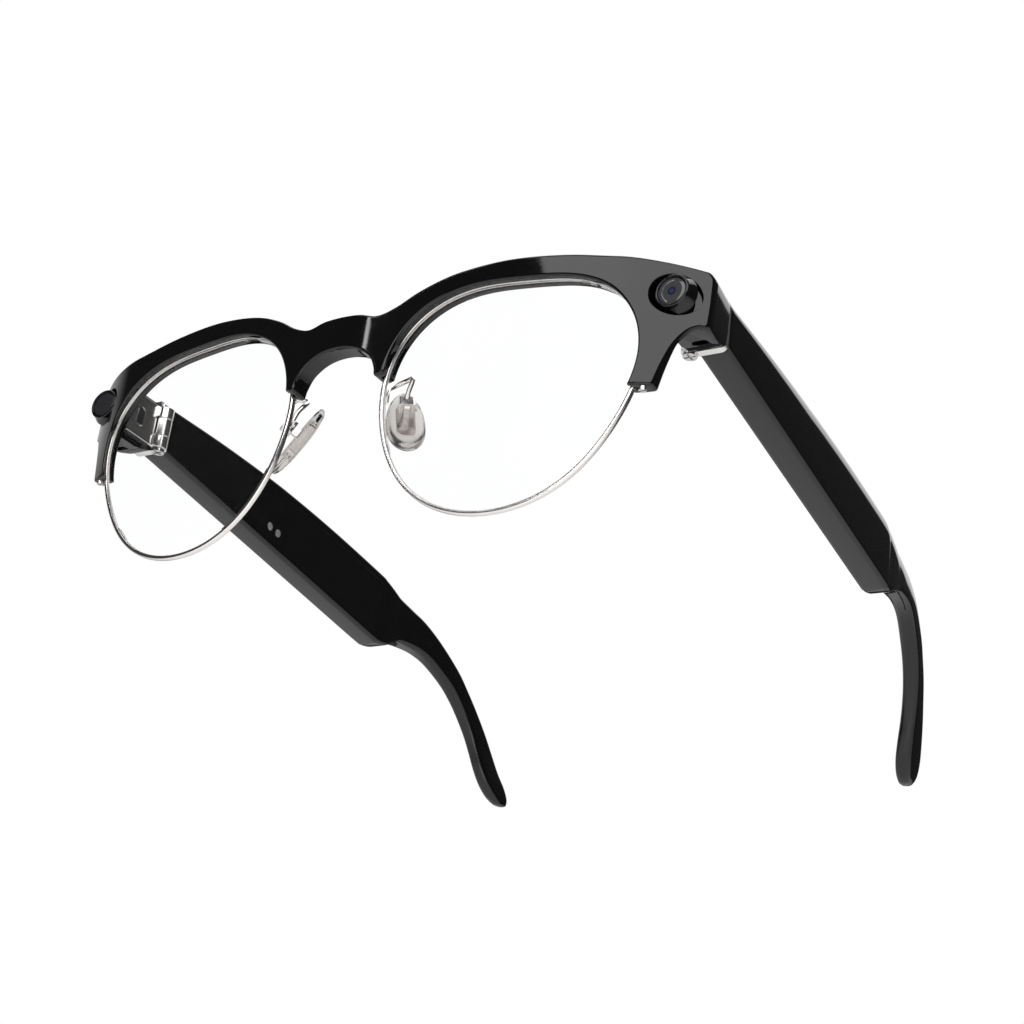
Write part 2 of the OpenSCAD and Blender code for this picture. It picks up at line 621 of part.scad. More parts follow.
module oblong(l, w, z0, z1) {
  for (d = [-1, 1]) translate([0, d * (l - w) / 2, z0]) cylinder(h = z1 - z0, r = w / 2, $fn = 32);
  block([-w / 2, -(l - w) / 2, z0], [w / 2, (l - w) / 2, z1]);
}

module button_well() { in_button() oblong(button_l + 0.3, button_w + 0.3, -3, 3); }

module capture_button() {
  color([0.05, 0.05, 0.055]) glasses() in_temple(-1) in_button() oblong(button_l, button_w, -1.3, 0.35);
}

module button_switch() {
  color([0.5, 0.5, 0.5]) glasses() in_temple(-1) in_button() block([-1, -1.6, -3.0], [1, 1.6, -2.0]);
}

brow_front();
brow_back();
front_flex();
brow_screws();
rim(1);  // rim_left
rim(-1);  // rim_right
lens(1);  // lens_left
lens(-1);  // lens_right
rim_locks();
camera_barrel();
camera_window();
camera_module();
light_barrel();
light_window();
light_board();
microphones();
endpiece_cover(1);  // endpiece_cover_left
endpiece_cover(-1);  // endpiece_cover_right
hinge_bracket(1);  // hinge_bracket_left
hinge_bracket(-1);  // hinge_bracket_right
hinge_screw(1);  // hinge_screw_left
hinge_screw(-1);  // hinge_screw_right
pad_arm(1);  // pad_arm_left
pad_arm(-1);  // pad_arm_right
pad_screws();
pad(1);  // pad_left
pad(-1);  // pad_right
pad_insert(1);  // pad_insert_left
pad_insert(-1);  // pad_insert_right
temple_plate(1);  // temple_plate_left
temple_plate(-1);  // temple_plate_right
temple_shell(1);  // temple_shell_left
temple_shell(-1);  // temple_shell_right
temple_cover(1);  // temple_cover_left
temple_cover(-1);  // temple_cover_right
ear_tip(1);  // ear_tip_left
ear_tip(-1);  // ear_tip_right
ear_core(1);  // ear_core_left
ear_core(-1);  // ear_core_right
battery(1);  // battery_left
battery(-1);  // battery_right
circuit_board(1);  // circuit_board_left
circuit_board(-1);  // circuit_board_right
speaker(1);  // speaker_left
speaker(-1);  // speaker_right
charging_contacts();
capture_button();
button_switch();
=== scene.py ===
"""Browline smart glasses: visible pieces, their finishes and a studio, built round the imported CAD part."""
import json
import math

import bmesh
import bpy
import numpy as np
from bpy.props import FloatProperty, FloatVectorProperty, PointerProperty
from bpy.types import Operator, Panel, PropertyGroup
from mathutils import Euler, Matrix, Vector
from mathutils.geometry import delaunay_2d_cdt

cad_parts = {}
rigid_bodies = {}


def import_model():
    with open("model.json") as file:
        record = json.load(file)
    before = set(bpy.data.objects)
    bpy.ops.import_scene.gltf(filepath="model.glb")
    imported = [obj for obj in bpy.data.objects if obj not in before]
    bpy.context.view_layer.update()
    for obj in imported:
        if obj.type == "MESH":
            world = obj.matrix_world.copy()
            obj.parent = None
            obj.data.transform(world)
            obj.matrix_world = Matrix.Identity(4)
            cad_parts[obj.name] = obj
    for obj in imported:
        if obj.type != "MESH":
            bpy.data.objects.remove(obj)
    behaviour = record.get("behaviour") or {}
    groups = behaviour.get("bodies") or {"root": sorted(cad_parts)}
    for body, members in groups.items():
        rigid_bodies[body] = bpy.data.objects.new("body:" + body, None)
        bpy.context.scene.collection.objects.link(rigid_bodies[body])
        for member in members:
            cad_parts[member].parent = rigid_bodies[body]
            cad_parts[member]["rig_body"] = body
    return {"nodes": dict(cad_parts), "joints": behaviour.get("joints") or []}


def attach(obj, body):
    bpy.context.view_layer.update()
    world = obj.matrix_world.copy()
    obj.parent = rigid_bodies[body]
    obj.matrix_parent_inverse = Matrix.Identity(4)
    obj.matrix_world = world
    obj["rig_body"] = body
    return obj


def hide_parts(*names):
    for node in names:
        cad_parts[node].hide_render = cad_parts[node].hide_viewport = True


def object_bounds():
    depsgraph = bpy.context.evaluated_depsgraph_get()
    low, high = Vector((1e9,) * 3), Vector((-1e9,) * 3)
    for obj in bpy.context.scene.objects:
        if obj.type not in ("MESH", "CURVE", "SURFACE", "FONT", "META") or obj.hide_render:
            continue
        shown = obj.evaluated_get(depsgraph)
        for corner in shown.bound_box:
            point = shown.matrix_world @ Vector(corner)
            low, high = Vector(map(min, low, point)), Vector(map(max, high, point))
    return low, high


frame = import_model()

bl_info = {
    "name": "Browline smart glasses",
    "version": (1, 0, 0),
    "blender": (4, 5, 0),
    "location": "3D View > Sidebar > Glasses",
    "description": "Builds the visible pieces of a pair of browline smart glasses round a packed CAD frame",
    "category": "Add Mesh",
}

MM = 0.001
CAD_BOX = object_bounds()
JOINTS = {j["name"]: j for j in frame["joints"]}

# ---- the design frame: millimetres about the middle of the lens centre line, as the CAD was drawn ----
HINGE = (61.2, 17.0, 11.0)
hinge_at = JOINTS["temple_left_fold"]["pos_m"]
ORIGIN = Vector(hinge_at) / MM - Vector(HINGE)
SIDES = {"left": 1, "right": -1}

# the front: lens centres, wrap of each half, half the bar's thickness, and its swept-back corners
LENS_X = 35.0
WRAP = math.radians(5.8)
BAR_HALF = 2.1
NOSE_X = 7.0
SWEEP_X = 54.5
SWEEP_RATE = 0.027
CORNER_X = 69.8

# the end pieces: inner side, back, underside and its rise to the back, outer side at the back
END_X = 62.35
END_Y = 16.2
END_BOTTOM = 4.4
END_RISE = 1.5
END_BACK_X = 68.7
END_SKIN = 1.2
ARM_BOTTOM = -8.0

# the bar's lower edge against the rim wire, and the groove that holds the wire
RIDGE_GROW = -0.45
GROOVE_HALF = 0.68
GROOVE_DEPTH = 1.03
EDGE_STRIP = 0.1

# the corner barrels and their seats, the bar's screws and their wells, the microphone port
BARREL = (64.4, 10.0)
BARREL_FRONT = 2.1
BORE_R = 4.0
SEAT_FLOOR = 4.55
SEAT_LEAST = 1.1
SCREWS = ((12.0, 9.9), (57.6, 11.7))
SCREW_WELL_R = 0.8
SCREW_WELL_DEPTH = 0.52
MIC_AT = (66.0, 11.4)
MIC_HALF = 0.75
MIC_R = 0.82

# angles in degrees past which an edge is shaded as a crease
FACET_EDGE = 22.0
SOFT_EDGE = 32.0
LENS_EDGE = 35.0
SHARP_EDGE = 38.0
HARD_EDGE = 40.0


def outline_r(a):
    """Polar radius of the lens outline, in mm, at angle a in degrees."""
    t = math.radians(a)
    r = 23.9 - 0.2 * math.cos(t) + 1.2 * math.sin(t) + math.cos(2 * t) + 0.6 * math.sin(2 * t)
    r += 0.1 * math.cos(3 * t) + 1.2 * math.sin(3 * t) - 0.5 * math.cos(4 * t) + 0.1 * math.sin(4 * t)
    return r + max(0.0, math.cos(t - math.radians(108))) ** 6


def on_outline(a):
    """Point of the lens outline, in the lens's own plane, at angle a in degrees."""
    t = math.radians(a)
    return Vector((outline_r(a) * math.cos(t), outline_r(a) * math.sin(t) - 6.5))


def outline_at(a, grow):
    """Point of the lens outline moved outward by grow."""
    d = (on_outline(a + 0.5) - on_outline(a - 0.5)).normalized()
    return on_outline(a) + grow * Vector((d.y, -d.x))


def smooth(points, n):
    """Catmull-Rom curve through given points, n pieces a span."""
    pts = [Vector(p) for p in points]
    out = []
    for i in range(len(pts) - 1):
        p, q, r, s = pts[max(i - 1, 0)], pts[i], pts[i + 1], pts[min(i + 2, len(pts) - 1)]
        for j in range(n):
            t = j / n
            out.append(0.5 * (2 * q + (r - p) * t + (2 * p - 5 * q + 4 * r - s) * t * t
                              + (3 * q - p - 3 * r + s) * t ** 3))
    return out + [pts[-1]]


def wrap_y(x):
    """The lens plane's depth at x: each half of the front leans back at the wrap angle."""
    return math.tan(WRAP) * (abs(x) - LENS_X)


def front_y(x):
    """The bar's front face: rounded at the nose, straight along each lens, swept back at the corners."""
    a = abs(x)
    if a < NOSE_X:
        return wrap_y(NOSE_X) - BAR_HALF - math.tan(WRAP) * (NOSE_X ** 2 - a * a) / (2 * NOSE_X)
    return wrap_y(a) - BAR_HALF + (SWEEP_RATE * (a - SWEEP_X) ** 2 if a > SWEEP_X else 0.0)


def mid_y(x):
    """The middle of the bar's thickness."""
    return front_y(x) + BAR_HALF if abs(x) < NOSE_X else wrap_y(x)


def back_y(x):
    """The bar's back face."""
    return mid_y(x) + BAR_HALF


# ---- mesh helpers ----
def place(points):
    """Design millimetres to the row frame's metres."""
    return [(Vector(p) + ORIGIN) * MM for p in points]


def mirrored(points, side):
    """Points drawn for the wearer's left, put on the given side."""
    return [(side * p[0], p[1], p[2]) for p in points]


def make_piece(name, points, faces, material, body, cad=(), sharp=SOFT_EDGE, side=1):
    """A finished mesh piece from design-frame points: cleaned, facing outwards, riding on its body."""
    mesh = bpy.data.meshes.new(name)
    mesh.from_pydata(place(mirrored(points, side)), [], faces)
    obj = bpy.data.objects.new(name, mesh)
    bpy.context.scene.collection.objects.link(obj)
    tidy_mesh(obj, sharp)
    return finish_piece(obj, material, body, cad)


def tidy_mesh(obj, sharp):
    """Merges doubles, turns faces outwards and marks edges sharper than the angle."""
    bm = bmesh.new()
    bm.from_mesh(obj.data)
    bmesh.ops.remove_doubles(bm, verts=bm.verts, dist=2e-6)
    bmesh.ops.dissolve_degenerate(bm, dist=1e-6, edges=bm.edges)
    bmesh.ops.recalc_face_normals(bm, faces=bm.faces)
    limit = math.radians(sharp)
    for face in bm.faces:
        face.smooth = True
    for edge in bm.edges:
        edge.smooth = len(edge.link_faces) == 2 and edge.calc_face_angle(0.0) < limit
    bm.to_mesh(obj.data)
    bm.free()


def finish_piece(obj, material, body, cad=()):
    """Gives a mesh its one finish, its body and the CAD nodes it stands for."""
    obj.data.materials.clear()
    obj.data.materials.append(material)
    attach(obj, body)
    if cad:
        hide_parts(*cad)
    return obj


def apply_modifiers(obj):
    """Turns an object's modifiers into plain mesh."""
    bpy.context.view_layer.update()
    graph = bpy.context.evaluated_depsgraph_get()
    mesh = bpy.data.meshes.new_from_object(obj.evaluated_get(graph))
    obj.modifiers.clear()
    obj.data = mesh


def refined(node, material, width):
    """A copy of a CAD node with its doubles merged and its edges broken by width, standing for the node."""
    cad = frame["nodes"][node]
    obj = bpy.data.objects.new(node + "_finished", cad.data.copy())
    bpy.context.scene.collection.objects.link(obj)
    bm = bmesh.new()
    bm.from_mesh(obj.data)
    bmesh.ops.remove_doubles(bm, verts=bm.verts, dist=3e-6)
    bmesh.ops.dissolve_limit(bm, angle_limit=math.radians(1.5), verts=bm.verts, edges=bm.edges)
    bm.to_mesh(obj.data)
    bm.free()
    bevel = obj.modifiers.new("broken edges", "BEVEL")
    bevel.width = width * MM
    bevel.segments = 2
    bevel.limit_method = "ANGLE"
    bevel.angle_limit = math.radians(HARD_EDGE)
    bevel.use_clamp_overlap = True
    apply_modifiers(obj)
    tidy_mesh(obj, FACET_EDGE)
    return finish_piece(obj, material, cad["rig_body"], (node,))


def loft_faces(rings, caps=True):
    """Faces through rings that all have the same number of points."""
    n, m = len(rings[0]), len(rings)
    faces = []
    for i in range(m - 1):
        for j in range(n):
            k = (j + 1) % n
            faces.append((i * n + j, i * n + k, (i + 1) * n + k, (i + 1) * n + j))
    if caps:
        faces.append(tuple(range(n - 1, -1, -1)))
        faces.append(tuple(range((m - 1) * n, m * n)))
    return faces


def loft(name, rings, material, body, cad=(), sharp=SOFT_EDGE, side=1):
    """A capped solid through rings."""
    points = [p for ring in rings for p in ring]
    return make_piece(name, points, loft_faces(rings), material, body, cad, sharp, side)


def lathe(name, profile, at, material, cad):
    """Solid on the front, turned about a line along Y: profile runs (radius, y) from front to back pole."""
    steps, sharp = 96, 30.0
    x0, z0 = at
    points, rows = [], []
    for r, y in profile:
        count = 1 if r == 0 else steps
        rows.append((len(points), count))
        for i in range(count):
            t = 2 * math.pi * i / steps
            points.append((x0 + r * math.cos(t), y, z0 + r * math.sin(t)))
    faces = []
    for (a, na), (b, nb) in zip(rows, rows[1:]):
        for i in range(steps):
            j = (i + 1) % steps
            if na == 1:
                faces.append((a, b + i, b + j))
            elif nb == 1:
                faces.append((a + i, b, a + j))
            else:
                faces.append((a + i, b + i, b + j, a + j))
    return make_piece(name, points, faces, material, "front", cad, sharp)


# ---- materials ----
def srgb(code):
    """Linear colour from an sRGB hex value."""
    parts = [int(code[i:i + 2], 16) / 255 for i in (1, 3, 5)]
    linear = [p / 12.92 if p <= 0.04045 else ((p + 0.055) / 1.055) ** 2.4 for p in parts]
    return (*linear, 1.0)


def add_node(tree, kind, inputs=None, **settings):
    """Adds a node; an input takes a value or the output socket that feeds it."""
    node = tree.nodes.new(kind)
    for key, value in settings.items():
        setattr(node, key, value)
    for key, value in (inputs or {}).items():
        if isinstance(value, bpy.types.NodeSocket):
            tree.links.new(value, node.inputs[key])
        else:
            node.inputs[key].default_value = value
    return node


def new_material(name, **values):
    """An empty node material with one Principled shader set from plain values."""
    material = bpy.data.materials.new(name)
    material.use_nodes = True
    tree = material.node_tree
    tree.nodes.clear()
    inputs = {key.replace("_", " "): value for key, value in values.items()}
    shader = add_node(tree, "ShaderNodeBsdfPrincipled", inputs)
    add_node(tree, "ShaderNodeOutputMaterial", {"Surface": shader.outputs[0]})
    return material, tree, shader


def object_coords(tree):
    """Object coordinates, which the frame keeps in metres."""
    return add_node(tree, "ShaderNodeTexCoord").outputs["Object"]


def stretched(tree, scale):
    """Object coordinates scaled by axis, for a pattern that runs one way."""
    return add_node(tree, "ShaderNodeMapping", {"Vector": object_coords(tree), "Scale": scale}).outputs[0]


def noise(tree, vector, size_mm, detail=3.0):
    """Noise whose main feature is size_mm across."""
    inputs = {"Vector": vector, "Scale": 1.0 / (size_mm * MM), "Detail": detail}
    return add_node(tree, "ShaderNodeTexNoise", inputs).outputs[0]


def ramp(tree, factor, low, high, from_min=0.3, from_max=0.7):
    """Spreads the middle of a pattern over low to high."""
    inputs = {"Value": factor, "From Min": from_min, "From Max": from_max, "To Min": low, "To Max": high}
    return add_node(tree, "ShaderNodeMapRange", inputs).outputs[0]


def two_colours(tree, factor, a, b):
    """Blends from linear colour a to linear colour b."""
    mix = add_node(tree, "ShaderNodeMix", {0: factor, 6: tuple(a), 7: tuple(b)}, data_type="RGBA")
    return mix.outputs[2]


def bump(tree, height, depth_mm):
    """Surface relief of a real depth."""
    return add_node(tree, "ShaderNodeBump", {"Height": height, "Distance": depth_mm * MM}).outputs[0]


def polished_acetate(name, a, b, rough_low, rough_high):
    """Cellulose acetate, tumbled and buffed: near-black, mirror-like, with a breath of buffing haze."""
    material, tree, shader = new_material(name, IOR=1.49)
    coords = object_coords(tree)
    haze = noise(tree, coords, 6.0, 4.0)
    swirls = noise(tree, stretched(tree, (1.0, 0.15, 1.0)), 0.5, 2.0)
    tree.links.new(two_colours(tree, haze, a, b), shader.inputs["Base Color"])
    tree.links.new(ramp(tree, haze, rough_low, rough_high), shader.inputs["Roughness"])
    tree.links.new(bump(tree, swirls, 0.0006), shader.inputs["Normal"])
    return material


def drawn_silver(name, a, b, rough_low, rough_high, grain_mm=0.12):
    """Plated nickel alloy, drawn and polished: bright, with fine draw lines that catch the light."""
    material, tree, shader = new_material(name, Metallic=1.0)
    coords = object_coords(tree)
    tone = noise(tree, coords, 3.0, 3.0)
    grain = noise(tree, stretched(tree, (1.0, 0.2, 1.0)), grain_mm, 2.0)
    tree.links.new(two_colours(tree, tone, a, b), shader.inputs["Base Color"])
    tree.links.new(ramp(tree, grain, rough_low, rough_high), shader.inputs["Roughness"])
    tree.links.new(bump(tree, grain, 0.0002), shader.inputs["Normal"])
    return material


def clear_lens(name):
    """Hard-coated polycarbonate demo lens with an anti-reflective coat: clear, with the faintest sheen."""
    material, tree, shader = new_material(name, IOR=1.06, Transmission_Weight=1.0)
    smear = noise(tree, object_coords(tree), 9.0, 4.0)
    tree.links.new(two_colours(tree, smear, srgb("#FDFEFE"), srgb("#FFFFFF")), shader.inputs["Base Color"])
    tree.links.new(ramp(tree, smear, 0.0, 0.012), shader.inputs["Roughness"])
    return material


def soft_silicone(name, a, b):
    """Moulded clear silicone: milky inside, satin outside, a little dust in the surface."""
    material, tree, shader = new_material(name, IOR=1.35, Transmission_Weight=1.0)
    coords = object_coords(tree)
    cloud = noise(tree, coords, 3.0, 3.0)
    skin = noise(tree, coords, 0.15, 2.0)
    tree.links.new(two_colours(tree, cloud, a, b), shader.inputs["Base Color"])
    tree.links.new(ramp(tree, skin, 0.04, 0.12), shader.inputs["Roughness"])
    tree.links.new(bump(tree, skin, 0.004), shader.inputs["Normal"])
    return material


def moulded_plastic(name, a, b, rough_low=0.35, rough_high=0.5, grain_mm=0.2, depth_mm=0.006):
    """Injection-moulded ABS with a spark-eroded grain."""
    material, tree, shader = new_material(name, IOR=1.53)
    coords = object_coords(tree)
    grain = noise(tree, coords, grain_mm, 2.0)
    tree.links.new(two_colours(tree, noise(tree, coords, 4.0), a, b), shader.inputs["Base Color"])
    tree.links.new(ramp(tree, grain, rough_low, rough_high), shader.inputs["Roughness"])
    tree.links.new(bump(tree, grain, depth_mm), shader.inputs["Normal"])
    return material


def camera_glass(name):
    """Hard-coated sapphire window over the lens stack: dark, with painted blue glints of the lens elements at
    its middle.
    """
    material, tree, shader = new_material(name, IOR=1.6)
    centre = place([(BARREL[0], BARREL_FRONT, BARREL[1])])[0]
    window_r = 2.6 * MM
    shift = add_node(tree, "ShaderNodeVectorMath", {0: object_coords(tree), 1: tuple(centre)},
                     operation="SUBTRACT")
    flat = add_node(tree, "ShaderNodeVectorMath", {0: shift.outputs[0], 1: (1.0, 0.0, 1.0)},
                    operation="MULTIPLY")
    away = add_node(tree, "ShaderNodeVectorMath", {0: flat.outputs[0]}, operation="LENGTH").outputs["Value"]
    rings = add_node(tree, "ShaderNodeValToRGB", {"Fac": ramp(tree, away, 0.0, 1.0, 0.0, window_r)})
    window_and_glint_stops = rings.color_ramp
    # painted glints: the blue stops at the middle stand in for light glinting off the lens elements; the
    # outer stops are plain greys and near-black
    window_and_glint_stops.elements[0].color = srgb("#26284A")
    window_and_glint_stops.elements[0].position = 0.0
    window_and_glint_stops.elements[1].color = srgb("#3C3C3F")
    window_and_glint_stops.elements[1].position = 1.0
    for position, code in ((0.16, "#2E3258"), (0.19, "#0C0C10"), (0.3, "#2A2A2E"), (0.34, "#39393C")):
        window_and_glint_stops.elements.new(position).color = srgb(code)
    tree.links.new(rings.outputs["Color"], shader.inputs["Base Color"])
    tree.links.new(ramp(tree, noise(tree, object_coords(tree), 2.0), 0.03, 0.08), shader.inputs["Roughness"])
    return material


def matt_film(name, a, b):
    """Thin film or foil with a fine crinkle."""
    material, tree, shader = new_material(name, IOR=1.5)
    coords = object_coords(tree)
    crinkle = noise(tree, coords, 1.2, 3.0)
    tree.links.new(two_colours(tree, crinkle, a, b), shader.inputs["Base Color"])
    tree.links.new(ramp(tree, crinkle, 0.3, 0.5), shader.inputs["Roughness"])
    tree.links.new(bump(tree, crinkle, 0.01), shader.inputs["Normal"])
    return material


def circuit_lacquer(name):
    """Solder-mask green over copper tracks."""
    material, tree, shader = new_material(name, IOR=1.5)
    cells = add_node(tree, "ShaderNodeTexVoronoi", {"Vector": object_coords(tree), "Scale": 1.0 / (0.9 * MM)},
                     feature="DISTANCE_TO_EDGE").outputs["Distance"]
    tracks = ramp(tree, cells, 1.0, 0.0, 0.02, 0.08)
    tree.links.new(two_colours(tree, tracks, srgb("#0F3F22"), srgb("#2A6B3C")), shader.inputs["Base Color"])
    tree.links.new(ramp(tree, noise(tree, object_coords(tree), 0.5), 0.25, 0.4), shader.inputs["Roughness"])
    return material


def floor_paper(name):
    """Seamless studio paper: pale and matt."""
    material, tree, shader = new_material(name, IOR=1.4)
    fibre = noise(tree, object_coords(tree), 30.0, 3.0)
    tree.links.new(two_colours(tree, fibre, srgb("#ECECEC"), srgb("#F1F1F0")), shader.inputs["Base Color"])
    tree.links.new(ramp(tree, fibre, 0.85, 0.95), shader.inputs["Roughness"])
    return material


FINISHES = {}


def make_finishes(colours):
    """Makes every material once; colours holds the ones that a maker would change."""
    FINISHES.update(
        acetate=polished_acetate("buffed_black_acetate", colours.acetate, colours.acetate_haze, 0.02, 0.05),
        barrel=polished_acetate("polished_black_barrel", srgb("#060606"), srgb("#0A0A0A"), 0.08, 0.16),
        button=polished_acetate("black_button_cap", srgb("#0A0A0B"), srgb("#0E0E10"), 0.12, 0.2),
        rim=drawn_silver("polished_rim_wire", colours.rim, colours.rim_light, 0.12, 0.2),
        hinge=drawn_silver("satin_hinge_silver", colours.hinge, colours.hinge_light, 0.22, 0.25),
        screw=drawn_silver("bright_screw_steel", srgb("#C4C3C2"), srgb("#D6D5D4"), 0.12, 0.22, 0.08),
        dark_screw=drawn_silver("blackened_screw_steel", srgb("#262627"), srgb("#343435"), 0.25, 0.4, 0.08),
        contact=drawn_silver("plated_contact", srgb("#F4F2EF"), srgb("#FBF9F6"), 0.35, 0.5, 0.1),
        core=drawn_silver("core_wire_steel", srgb("#9A9A9A"), srgb("#ABABAB"), 0.3, 0.4),
        lens=clear_lens("coated_clear_lens"),
        silicone=soft_silicone("clear_silicone", colours.silicone, colours.silicone_cloud),
        camera=camera_glass("camera_window_painted_glints"),
        light=polished_acetate("smoked_light_window", srgb("#242427"), srgb("#2A2A2D"), 0.08, 0.16),
        matt=moulded_plastic("fine_grain_black", srgb("#0B0B0C"), srgb("#111112")),
        cover=polished_acetate("satin_inner_cover", srgb("#09090A"), srgb("#0D0D0E"), 0.06, 0.12),
        mesh=moulded_plastic("acoustic_mesh_black", srgb("#040404"), srgb("#0A0A0A"), 0.6, 0.8, 0.15, 0.02),
        flex=matt_film("amber_flex_film", srgb("#8A4A12"), srgb("#A8611E")),
        foil=matt_film("cell_foil", srgb("#9DA0A6"), srgb("#B4B7BC")),
        circuit=circuit_lacquer("green_circuit_lacquer"),
        floor=floor_paper("studio_paper"),
    )


# ---- brow bar ----
# the wearer's left half of the bar in the front view, as (across, up) points
BROW_TOP = [(0, 13.5), (4, 13.3), (7.8, 12.5), (11.5, 13.8), (16, 16.5), (22, 18.9), (29, 20.2), (36, 20.5),
            (45, 19.7), (54, 18), (62, 16.5), (68.9, 15.55)]
END_EDGE = [(69.2, 15.25), (69.5, 14.75), (69.72, 14.2), (69.78, 13.5), (69.75, 12), (69.7, 9), (69.6, 7),
            (69.5, 5.2), (69.3, 4.65), (68.9, 4.4)]
ARM_EDGE = [(68.2, 4.4), (66.9, 3.5), (65.7, 1.9), (64.7, 0), (63.9, -2.2), (63.2, -4.4), (62.5, -7.0)]
ARM_TIP = [(62.35, -7.6), (62.1, -7.9), (61.8, ARM_BOTTOM), (60.0, ARM_BOTTOM)]
NOSE_TIP = [(9.85, -0.2), (9.2, -0.2), (9.0, -0.05)]
BRIDGE_UNDER = [(8.9, 0.3), (8.6, 1.7), (7.4, 4), (5, 5.7), (2.4, 6.5), (0, 6.7)]

# the stretch of the lens outline, in degrees, that the bar covers
OPEN_FROM, OPEN_TO = -3.6, 164.5
OPEN_STEPS = 120
CURVE_STEPS = 8


def ridge_point(a):
    """The bar's lower edge against the rim wire, in the front view."""
    p = outline_at(a, RIDGE_GROW)
    return Vector((LENS_X + p.x * math.cos(WRAP), p.y))


def half_outline():
    """Front view of the wearer's left half: points from the top of the bridge round to its underside, each
    with its kind: plain, end (the deep end piece) or groove (holds the rim wire)."""
    out = [(p, "end" if p.x > END_X else "plain") for p in smooth(BROW_TOP, CURVE_STEPS)]
    out += [(Vector(p), "end") for p in END_EDGE]
    arm = smooth(ARM_EDGE, CURVE_STEPS)
    out += [(arm[0], "end")] + [(p, "plain") for p in arm[1:]]
    out += [(Vector(p), "plain") for p in ARM_TIP]
    out += [(ridge_point(OPEN_FROM + (OPEN_TO - OPEN_FROM) * i / OPEN_STEPS), "groove")
            for i in range(OPEN_STEPS + 1)]
    out += [(Vector(p), "plain") for p in NOSE_TIP]
    return out + [(p, "plain") for p in smooth(BRIDGE_UNDER, CURVE_STEPS)]


def full_outline():
    """The whole bar in the front view, the second half mirrored from the first."""
    half = half_outline()
    return half + [(Vector((-p.x, p.y)), kind) for p, kind in reversed(half[1:-1])]


def inward(points):
    """Mitred unit offsets into the material, for a closed outline that runs clockwise in the front view."""
    least_cos = 0.6
    out = []
    for i, p in enumerate(points):
        a = (p - points[i - 1]).normalized()
        b = (points[(i + 1) % len(points)] - p).normalized()
        m = Vector((a.y, -a.x)) + Vector((b.y, -b.x))
        m = m / max(m.length, 1e-6)
        cos_half = max(least_cos, m.dot(Vector((a.y, -a.x))))
        out.append(m / cos_half)
    return out


def inside(points, loop):
    """Which points lie inside a closed loop."""
    x, y = points[:, 0], points[:, 1]
    hit = np.zeros(len(points), bool)
    for (x0, y0), (x1, y1) in zip(loop, np.roll(loop, -1, axis=0)):
        cross = (y0 > y) != (y1 > y)
        at = (x1 - x0) * (y - y0) / ((y1 - y0) if y1 != y0 else 1e-12) + x0
        hit ^= cross & (x < at)
    return hit


def near_loop(points, loop, gap):
    """Which points lie closer than gap to a loop's own points."""
    d = np.linalg.norm(points[:, None, :] - loop[None, :, :], axis=2).min(axis=1)
    return d < gap


def fill_face(outer, holes, spacing, height):
    """Triangles over a flat outline with holes. Returns the new inner points, and faces over outer, holes and
    inner points; height turns a flat point into its y."""
    clear = 0.55 * spacing
    loops = [np.array(outer)] + [np.array(h) for h in holes]
    lo, hi = loops[0].min(axis=0), loops[0].max(axis=0)
    grid = []
    for ix in np.arange(lo[0] + spacing / 2, hi[0], spacing):
        for iz in np.arange(lo[1] + spacing / 2, hi[1], spacing):
            grid.append((ix, iz))
    grid = np.array(grid)
    keep = inside(grid, loops[0])
    for hole in loops[1:]:
        keep &= ~inside(grid, hole)
    grid = grid[keep]
    for loop in loops:
        grid = grid[~near_loop(grid, loop, clear)]
    flat = [Vector(p) for loop in loops for p in loop] + [Vector(p) for p in grid]
    edges, start = [], 0
    for loop in loops:
        n = len(loop)
        edges += [(start + i, start + (i + 1) % n) for i in range(n)]
        start += n
    verts, _, faces, orig, _, _ = delaunay_2d_cdt(flat, edges, [], 0, 1e-7)
    source = [o[0] if o else None for o in orig]
    centres = np.array([sum((verts[i] for i in f), Vector((0, 0))) / len(f) for f in faces])
    keep = inside(centres, loops[0])
    for hole in loops[1:]:
        keep &= ~inside(centres, hole)
    triangles = [tuple(source[i] for i in f) for f, k in zip(faces, keep) if k]
    triangles = [t for t in triangles if None not in t]
    return [(p[0], height(*p), p[1]) for p in grid], triangles


def circle(centre, r, steps):
    """Flat points of a circle."""
    return [Vector((centre[0] + r * math.cos(2 * math.pi * i / steps),
                    centre[1] + r * math.sin(2 * math.pi * i / steps))) for i in range(steps)]


def bar_depth_at(x, kind):
    """How far the bar's back lies behind its front; behind the end pieces' skin their own block goes on."""
    if kind == "end":
        return END_SKIN
    return max(back_y(x) - front_y(x), END_SKIN)


